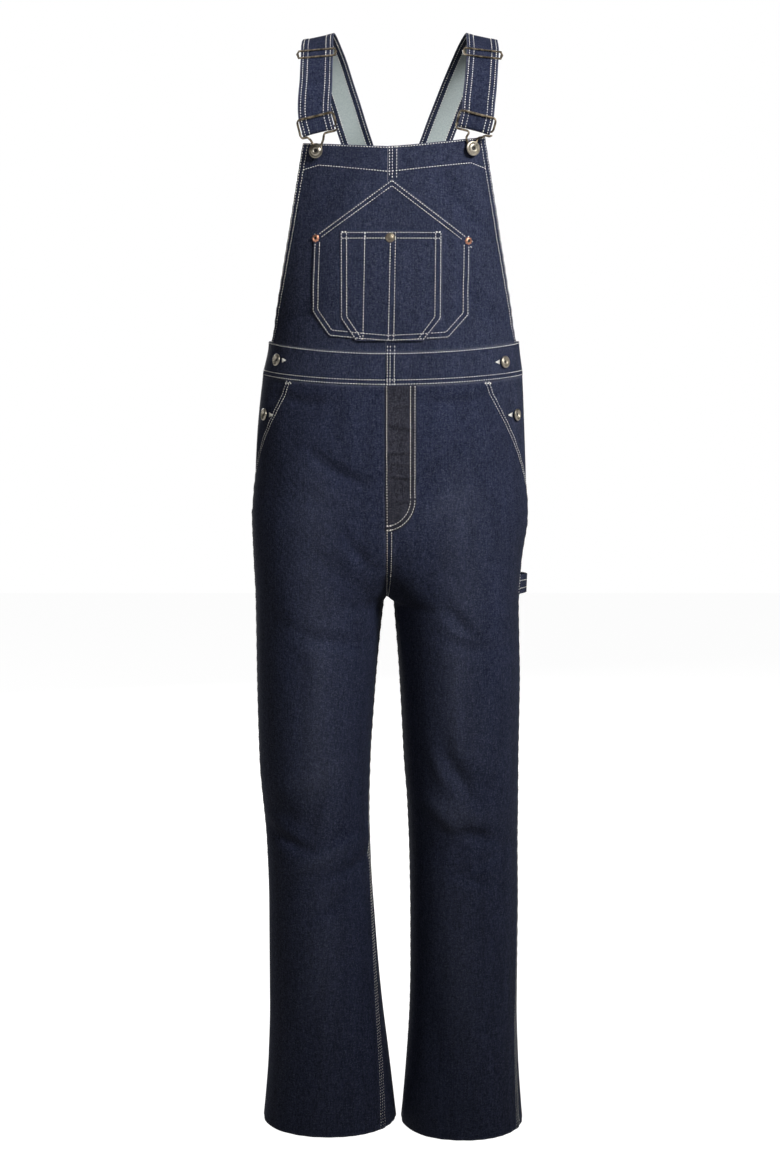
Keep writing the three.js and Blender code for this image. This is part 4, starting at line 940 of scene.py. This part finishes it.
def strap_rows(side, name):
    """Rows down a strap's middle line, 1 mm apart: the place, across, out and along"""
    stations = [row for row in strap_stations if row["side"] == name]
    spots = np.array([[row["x"], row["y"], row["z"]] for row in stations])
    spots = np.vstack([2 * spots[0] - spots[1], spots, 2 * spots[-1] - spots[-2]])
    t = np.linspace(0, 1, 40, endpoint=False)[:, None]
    curve, turn = [], []
    for i, (a, b, c, d) in enumerate(zip(spots, spots[1:], spots[2:], spots[3:])):
        before, here, after = (math.sqrt(np.linalg.norm(q - p)) for p, q in ((a, b), (b, c), (c, d)))
        leave = ((b - a) / before - (c - a) / (before + here) + (c - b) / here) * here
        arrive = ((c - b) / here - (d - b) / (here + after) + (d - c) / after) * here
        curve.append(b + leave * t + (3 * (c - b) - 2 * leave - arrive) * t**2 + (2 * (b - c) + leave + arrive) * t**3)
        turn.append(lerp(stations[i]["turn"], stations[i + 1]["turn"], t[:, 0]))
    curve = np.vstack([*curve, spots[-2:-1]])
    turn = np.r_[np.concatenate(turn), stations[-1]["turn"]]
    far = np.r_[0, np.cumsum(np.linalg.norm(np.diff(curve, axis=0), axis=-1))]
    at = np.linspace(0, far[-1], int(far[-1]))
    middle = np.stack([np.interp(at, far, curve[:, i]) for i in range(3)], axis=-1)
    turn = np.radians(np.interp(at, far, turn))
    along = unit(np.gradient(middle, axis=0))
    lean = lerp(0.22, 0.06, np.clip(np.abs(middle[:, 1]) / 80, 0, 1))
    out = unit(np.stack([side * lean + np.sin(turn), along[:, 2], -along[:, 1]], axis=-1))
    across = unit(np.cross(out, along))
    return middle, across, np.cross(along, across), along


strap_frames = {}
for side, name in ((-1, "right"), (1, "left")):
    middle, across, out, along = strap_rows(side, name)
    last = len(middle) - 1
    at_slider = next(i for i in range(last) if middle[i, 1] < 0 and middle[i, 2] < SLIDER_HEIGHT)
    strap_frames[side] = {"slider": (middle[at_slider], across[at_slider], out[at_slider], along[at_slider])}
    keep = np.unique(np.r_[np.arange(0, last, 2), last])
    bar = middle[last] - out[last] * BEND
    bend = np.linspace(0, math.pi, 12)[1:, None]
    bend_out = out[last] * np.cos(bend) + along[last] * np.sin(bend)
    tail = np.arange(last - 2, at_slider + STRAP["tail"], -2)
    t = (np.arange(len(tail)) + 1) / len(tail)
    step = lerp(2 * BEND, LAYER_STEP, smoothstep(t, 0, 0.35))[:, None]
    rows = np.vstack([middle[keep], bar + bend_out * BEND, middle[tail] - out[tail] * step])
    ways = np.vstack([across[keep], np.repeat(across[last:], len(bend), axis=0), across[tail]])
    outs = np.vstack([out[keep], bend_out, -out[tail]])
    w = np.r_[-19, -18.4, np.linspace(-17.6, 17.6, 21), 18.4, 19]
    far = np.r_[0, np.cumsum(np.linalg.norm(np.diff(rows, axis=0), axis=-1))][:, None]
    ripple = 0.22 * np.sin(far / 2.1 + 1.4 * np.sin(far / 17)) * np.exp(-(((np.abs(w) - 17) / 3) ** 2))
    sway = 0.45 * np.sin(far / 23) + 0.25 * np.sin(far / 9.1)
    band = smoothstep(np.abs(w), 10.2, 11.6)
    raised = 0.35 * band + ripple
    spread = rows[:, None] + ways[:, None] * (w * (1 + 0.006 * np.sin(far / 14)) + 0.5 * sway)[..., None]
    outer = spread + outs[:, None] * (STRAP["thick"] / 2 - 0.25 + raised)[..., None]
    inner = spread - outs[:, None] * (STRAP["thick"] / 2 - 0.6 * (1 - band))[..., None]
    wear_and_painted_light = 0.5 * np.exp(-(((19 - np.abs(w)) / 1.2) ** 2)) + 0.2 * np.exp(-(((np.abs(w) - 11) / 1.2) ** 2)) + 0 * far
    lined = np.broadcast_to(np.abs((w[1:] + w[:-1]) / 2) < 10.6, (len(rows) - 1, len(w) - 1)).astype(np.int32)
    strap = closed_sheet(f"strap_{name}_denim", outer, inner, wear_and_painted_light, raw_denim, wrong_side, lined=lined)
    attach(strap, "root")
    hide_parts(f"strap_{name}")
    shown = len(keep) + 7
    lines = []
    for inset in (-15.8, -10.6, 10.6, 15.8):
        column = np.argmin(np.abs(w - inset))
        lines.append((outer[:shown, column], outs[:shown]))
        behind = slice(3, int(np.argmax(rows[:, 1] < 0)))
        lines.append((inner[behind, column], -outs[behind]))
    sewing = sew(f"strap_{name}_topstitching", lines)

# Buckles. Wire hooks and stamped sliders of brass, blackened and rubbed back, so the metal is
# dark in the hollows and yellow where the strap and the hand rub it.
antique_brass = bpy.data.materials.new("antiqued_brass_wire")
antique_brass.use_nodes = True
tree = antique_brass.node_tree
place = node(tree, "ShaderNodeTexCoord")
rub = node(tree, "ShaderNodeTexNoise", {"Vector": place.outputs["Object"], "Scale": 240.0, "Detail": 3.0})
rubbed = node(tree, "ShaderNodeMapRange", {"Value": rub.outputs[0], "From Min": 0.4, "From Max": 0.65})
tone = node(
    tree,
    "ShaderNodeMix",
    {0: rubbed.outputs[0], 6: linear("#40392f"), 7: linear("#877b69")},
    data_type="RGBA",
)
shader = tree.nodes["Principled BSDF"]
shader.inputs["Metallic"].default_value = 1.0
shader.inputs["Roughness"].default_value = 0.38
tree.links.new(tone.outputs[2], shader.inputs["Base Color"])
bump = node(tree, "ShaderNodeBump", {"Height": rub.outputs[0], "Strength": 0.2, "Distance": 0.0002})
tree.links.new(bump.outputs[0], shader.inputs["Normal"])

for name in ("right", "left"):
    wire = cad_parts[f"hook_{name}"].copy()
    wire.data = wire.data.copy()
    wire.name = f"hook_{name}_wire"
    for key in [k for k in wire.keys() if k.startswith("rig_")]:
        del wire[key]
    wire.parent = None
    bpy.context.scene.collection.objects.link(wire)
    whole = bmesh.new()
    whole.from_mesh(wire.data)
    bmesh.ops.remove_doubles(whole, verts=whole.verts, dist=0.00002)
    whole.normal_update()
    thicker = [(corner, corner.normal * 0.00035) for corner in whole.verts]
    for corner, step in thicker:
        corner.co += step
    for face in whole.faces:
        face.smooth = True
    whole.to_mesh(wire.data)
    whole.free()
    bpy.ops.object.select_all(action="DESELECT")
    wire.select_set(True)
    bpy.context.view_layer.objects.active = wire
    fuller = wire.modifiers.new("round_wire", "SUBSURF")
    fuller.levels = fuller.render_levels = 2
    bpy.ops.object.modifier_apply(modifier=fuller.name)
    wire.data.materials.clear()
    wire.data.materials.append(antique_brass)
    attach(wire, "root")
    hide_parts(f"hook_{name}")

# Slider: modelled once, flat, with its strap side at z = 0, and copied to both straps.
SLIDER = {"half": 0.0218, "point": 0.0024, "height": 0.015, "bar": 0.0021, "thick": 0.0017, "lift": 0.0014}
bpy.ops.object.select_all(action="DESELECT")
bpy.ops.mesh.primitive_plane_add(size=1, location=(0, 0, 0))
plate = bpy.context.object
plate.data.transform(Matrix.Diagonal((2 * SLIDER["half"], SLIDER["height"], 1, 1)))
bpy.ops.object.mode_set(mode="EDIT")
shape = bmesh.from_edit_mesh(plate.data)
ends = [e for e in shape.edges if abs(e.verts[0].co.x - e.verts[1].co.x) < 1e-6]
bmesh.ops.subdivide_edges(shape, edges=ends, cuts=1)
for corner in shape.verts:
    if abs(corner.co.y) < 1e-6:
        corner.co.x += math.copysign(SLIDER["point"], corner.co.x)
bmesh.update_edit_mesh(plate.data)
bpy.ops.mesh.select_all(action="SELECT")
bpy.ops.mesh.inset(thickness=SLIDER["bar"])
bpy.ops.mesh.delete(type="FACE")
bpy.ops.mesh.select_all(action="SELECT")
bpy.ops.mesh.extrude_region_move(TRANSFORM_OT_translate={"value": (0, 0, SLIDER["thick"])})
bpy.ops.mesh.select_all(action="SELECT")
bpy.ops.mesh.normals_make_consistent(inside=False)
bpy.ops.object.mode_set(mode="OBJECT")
rounded = plate.modifiers.new("stamped_edge", "BEVEL")
rounded.width, rounded.segments, rounded.angle_limit = 0.00055, 3, math.radians(40)
bpy.ops.object.modifier_apply(modifier=rounded.name)
for face in plate.data.polygons:
    face.use_smooth = True
bpy.ops.object.select_all(action="DESELECT")
bpy.ops.mesh.primitive_cylinder_add(vertices=16, radius=0.0011, depth=2 * SLIDER["half"] + 0.001, rotation=(0, math.pi / 2, 0), location=(0, 0, -2 * SLIDER["lift"] - 0.0012))
cross_bar = bpy.context.object
bpy.ops.object.transform_apply(location=True, rotation=True, scale=True)
for x in (-SLIDER["half"], SLIDER["half"]):
    bpy.ops.mesh.primitive_cylinder_add(vertices=16, radius=0.0011, depth=0.0052, location=(x, 0, -0.0016))
    post = bpy.context.object
    bpy.ops.object.transform_apply(location=True, rotation=True, scale=True)
    cross_bar.select_set(True)
    bpy.context.view_layer.objects.active = cross_bar
    bpy.ops.object.join()
cross_bar.select_set(True)
plate.select_set(True)
bpy.context.view_layer.objects.active = plate
bpy.ops.object.join()
for face in plate.data.polygons:
    face.use_smooth = True
plate.data.materials.clear()
plate.data.materials.append(antique_brass)
for side, name in ((-1, "right"), (1, "left")):
    place, across, out, along = (Vector(v) for v in strap_frames[side]["slider"])
    slider = plate.copy()
    slider.data = plate.data.copy()
    slider.name = f"slider_{name}_plate"
    bpy.context.scene.collection.objects.link(slider)
    turn = Matrix((across, -along, out)).transposed().to_4x4()
    spot = Matrix.Translation((place + out * 1000 * SLIDER["lift"]) * 0.001)
    slider.data.transform(spot @ turn)
    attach(slider, "root")
    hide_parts(f"slider_{name}")
bpy.data.objects.remove(plate)

# Buttons. Stamped shank buttons of nickel-plated brass, worn warm: a rolled rim, a dished face
# and a deep dimple in the middle. Each is drawn up from a disc by steps of size and height.
button_metal = bpy.data.materials.new("worn_nickel_plate")
button_metal.use_nodes = True
tree = button_metal.node_tree
place = node(tree, "ShaderNodeTexCoord")
stain = node(tree, "ShaderNodeTexNoise", {"Vector": place.outputs["Object"], "Scale": 320.0, "Detail": 4.0})
tone = node(
    tree,
    "ShaderNodeMix",
    {0: stain.outputs[0], 6: linear("#6f685c"), 7: linear("#b0aa9d")},
    data_type="RGBA",
)
shader = tree.nodes["Principled BSDF"]
shader.inputs["Metallic"].default_value = 1.0
shader.inputs["Roughness"].default_value = 0.3
tree.links.new(tone.outputs[2], shader.inputs["Base Color"])

# Painted shade: a near-black finish put in the dimple at the middle of the buttons and rivets, where the hollow lies
# in shade.
painted_dimple_shade = bpy.data.materials.new("painted_dimple_shade_black")
painted_dimple_shade.use_nodes = True
shader = painted_dimple_shade.node_tree.nodes["Principled BSDF"]
shader.inputs["Base Color"].default_value = linear("#17130f")
shader.inputs["Roughness"].default_value = 0.7


def stamped(name, sides, steps, material, notch=1.0, dark=0.0):
    """A round stamping: a disc pulled up and in through steps of radius and height, in mm.
    With a notch every second corner of the disc is drawn in, as on a star. Inside the dark
    radius, above the base, the metal is painted near-black as shade in the dimple."""
    bpy.ops.object.select_all(action="DESELECT")
    bpy.ops.mesh.primitive_circle_add(vertices=sides, radius=steps[0][0] * 0.001, fill_type="NGON", location=(0, 0, 0))
    disc = bpy.context.object
    disc.name = name
    for corner in disc.data.vertices:
        corner.co.z = steps[0][1] * 0.001
        if corner.index % 2 and notch < 1:
            corner.co.x *= notch
            corner.co.y *= notch
    bpy.ops.object.mode_set(mode="EDIT")
    bpy.ops.mesh.select_all(action="SELECT")
    for (radius, height), (wider, higher) in zip(steps, steps[1:]):
        bpy.ops.mesh.extrude_region_move(TRANSFORM_OT_translate={"value": (0, 0, (higher - height) * 0.001)})
        size = wider / radius
        bpy.ops.transform.resize(value=(size, size, 1), center_override=(0, 0, higher * 0.001))
    bpy.ops.mesh.select_all(action="SELECT")
    bpy.ops.mesh.normals_make_consistent(inside=False)
    bpy.ops.object.mode_set(mode="OBJECT")
    disc.data.materials.clear()
    disc.data.materials.append(material)
    disc.data.materials.append(painted_dimple_shade)
    for face in disc.data.polygons:
        # Faces of the dimple inside the dark radius take the near-black painted shade.
        in_shaded_dimple = all(math.hypot(*disc.data.vertices[i].co.xy) < dark * 0.001 for i in face.vertices)
        face.material_index = int(in_shaded_dimple and face.center.z > 0.0002)
    bpy.ops.object.shade_smooth_by_angle(angle=math.radians(38))
    return disc


def seat_on_front(piece, side, x, z, offset):
    """Turns a piece that was made flat so that it sits on the front of the worn form"""
    angle = angle_at(side, np.float64(x), np.float64(z))
    place = Vector(skin(side, angle, np.float64(z), offset)) * 0.001
    facing = Vector(outward(side, angle, np.float64(z)))
    piece.data.transform(Matrix.Translation(place) @ facing.to_track_quat("Z", "Y").to_matrix().to_4x4())
    return piece


BIB_BUTTON = [(2.6, -0.3), (2.6, 4.6), (7.4, 4.8), (8.3, 5.3), (8.6, 6.0), (8.5, 6.6), (7.9, 7.0), (7.3, 7.0), (6.9, 6.1), (6.5, 6.1), (5.7, 7.2), (4.4, 7.9), (3.3, 8.0), (2.7, 7.7), (2.2, 6.7), (1.9, 5.9), (0.4, 5.7)]
SIDE_BUTTON = [(2.6, -0.3), (2.6, 1.4), (6.2, 1.5), (6.9, 1.9), (7.2, 2.5), (7.1, 3.3), (6.6, 3.9), (5.8, 4.1), (5.1, 3.9), (4.6, 2.9), (4.1, 2.5), (3.5, 2.8), (2.9, 3.1), (2.4, 2.9), (2.0, 2.4), (0.3, 2.3)]
buttons = table("""
    name          side  x     z     stand
    bib_button    -1    -85   -141  0
    bib_button    1     93    -138  0
    waist_button  -1    -134  -383  0.6
    waist_button  1     133.5 -385  0.6
    hip_button    -1    -151  -448  -0.6
    hip_button    1     150   -448  -0.6
""")
for row in buttons:
    side = int(row["side"])
    name = f"{row['name']}_{'right' if side < 0 else 'left'}"
    steps = BIB_BUTTON if row["name"] == "bib_button" else SIDE_BUTTON
    button = stamped(f"{name}_stamping", 40, steps, button_metal, dark=2.3)
    seat_on_front(button, side, row["x"], row["z"], row["stand"])
    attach(button, "root")
    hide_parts(name)
    if row["name"] != "bib_button":
        inboard = row["x"] - side * 10
        rows = [[(inboard, row["z"]), (inboard + side * 5, row["z"] + rise)] for rise in (-2.4, -1.2, 0, 1.2, 2.4)]
        sew(f"{name}_hole_thread", [on_front(corners, max(row["stand"], 0) + 0.1, 1, HALF_GAP) for corners in rows], wide=0.5, pitch=1.4, long=1.5)

# Pen pocket snap: a dull bronze cap, pressed through the middle of the pocket's hem.
snap_metal = bpy.data.materials.new("dull_bronze_cap")
snap_metal.use_nodes = True
shader = snap_metal.node_tree.nodes["Principled BSDF"]
tree = snap_metal.node_tree
place = node(tree, "ShaderNodeTexCoord")
stain = node(tree, "ShaderNodeTexNoise", {"Vector": place.outputs["Object"], "Scale": 400.0, "Detail": 3.0})
tone = node(tree, "ShaderNodeMix", {0: stain.outputs[0], 6: linear("#4b453b"), 7: linear("#7f7667")}, data_type="RGBA")
shader.inputs["Metallic"].default_value = 1.0
shader.inputs["Roughness"].default_value = 0.42
tree.links.new(tone.outputs[2], shader.inputs["Base Color"])
SNAP_STEPS = [(5.2, -0.2), (5.6, 0.3), (5.5, 0.9), (5.0, 1.4), (4.2, 1.7), (3.9, 1.5), (3.5, 1.5), (2.8, 2.0), (1.6, 2.2), (0.5, 2.3)]
snap = stamped("pen_snap_cap", 36, SNAP_STEPS, snap_metal)
seat_on_front(snap, 1, -1, -241, PEN_LIFT)
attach(snap, "root")
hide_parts("pen_snap")

# Rivets: copper burrs with a notched edge, hammered over at the two eaves of the bib pocket.
copper = bpy.data.materials.new("hammered_copper")
copper.use_nodes = True
tree = copper.node_tree
place = node(tree, "ShaderNodeTexCoord")
stain = node(tree, "ShaderNodeTexNoise", {"Vector": place.outputs["Object"], "Scale": 500.0, "Detail": 3.0})
tone = node(tree, "ShaderNodeMix", {0: stain.outputs[0], 6: linear("#8a5440"), 7: linear("#d9a184")}, data_type="RGBA")
shader = tree.nodes["Principled BSDF"]
shader.inputs["Metallic"].default_value = 1.0
shader.inputs["Roughness"].default_value = 0.33
tree.links.new(tone.outputs[2], shader.inputs["Base Color"])
RIVET_STEPS = [(4.7, -0.2), (4.9, 0.5), (4.4, 1.0), (3.4, 1.5), (2.7, 1.6), (2.2, 1.2), (1.9, 0.7), (1.2, 0.6), (0.4, 0.6)]
for side, name, x, z in ((-1, "right", -87.1, -241), (1, "left", 89.6, -244)):
    rivet = stamped(f"pocket_rivet_{name}_burr", 16, RIVET_STEPS, copper, notch=0.78, dark=2.3)
    seat_on_front(rivet, side, x, z, PATCH["base"] + PATCH["wall"] + 0.2)
    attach(rivet, "root")
    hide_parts(f"pocket_rivet_{name}")

# Stage: a pale floor in a pale room, which show white but don't light the cloth, as with black
# flags round the garment; the room doesn't mirror in the metal, while the floor does. Soft light
# comes from the front and the wearer's left.
FLOOR = -1.43
bpy.ops.object.select_all(action="DESELECT")
bpy.ops.mesh.primitive_plane_add(size=12, location=(0, 0, FLOOR))
floor = bpy.context.object
floor.name = "paper_floor"
floor.visible_diffuse = False
paper = bpy.data.materials.new("pale_paper")
paper.use_nodes = True
shader = paper.node_tree.nodes["Principled BSDF"]
shader.inputs["Base Color"].default_value = linear("#808080")
shader.inputs["Roughness"].default_value = 0.9
shader.inputs["Emission Color"].default_value = linear("#ffffff")
shader.inputs["Emission Strength"].default_value = 0.97
floor.data.materials.append(paper)

lamps = table("""
    name    x     y     z     size  power  aim    spread
    key     1.45  -1.9  0.9   0.9   9.2    -0.2   46
    fill    -0.5  -2.8  0.9   1.4   8      -0.2   120
    top     0     0.1   1.8   1.4   12     -0.62  180
    behind  -0.9  3.0   0.5   1.3   84     -0.62  180
    right   -3.1  0.3   -0.2  1.8   6      -0.62  180
    left    3.1   0.3   -0.2  1.8   12     -0.62  180
""")
for row in lamps:
    lamp = bpy.data.lights.new(row["name"], "AREA")
    lamp.size = row["size"]
    lamp.energy = row["power"]
    lamp.spread = math.radians(row["spread"])
    light = bpy.data.objects.new(row["name"], lamp)
    bpy.context.scene.collection.objects.link(light)
    light.location = (row["x"], row["y"], row["z"])
    light.rotation_euler = (Vector((0, 0, row["aim"])) - light.location).to_track_quat("-Z", "Y").to_euler()
world = bpy.data.worlds.new("pale_room")
world.use_nodes = True
world.node_tree.nodes["Background"].inputs["Color"].default_value = linear("#ffffff")
world.node_tree.nodes["Background"].inputs["Strength"].default_value = 1.0
world.cycles_visibility.diffuse = False
world.cycles_visibility.glossy = False
bpy.context.scene.world = world
bpy.context.scene.view_settings.view_transform = "Standard"
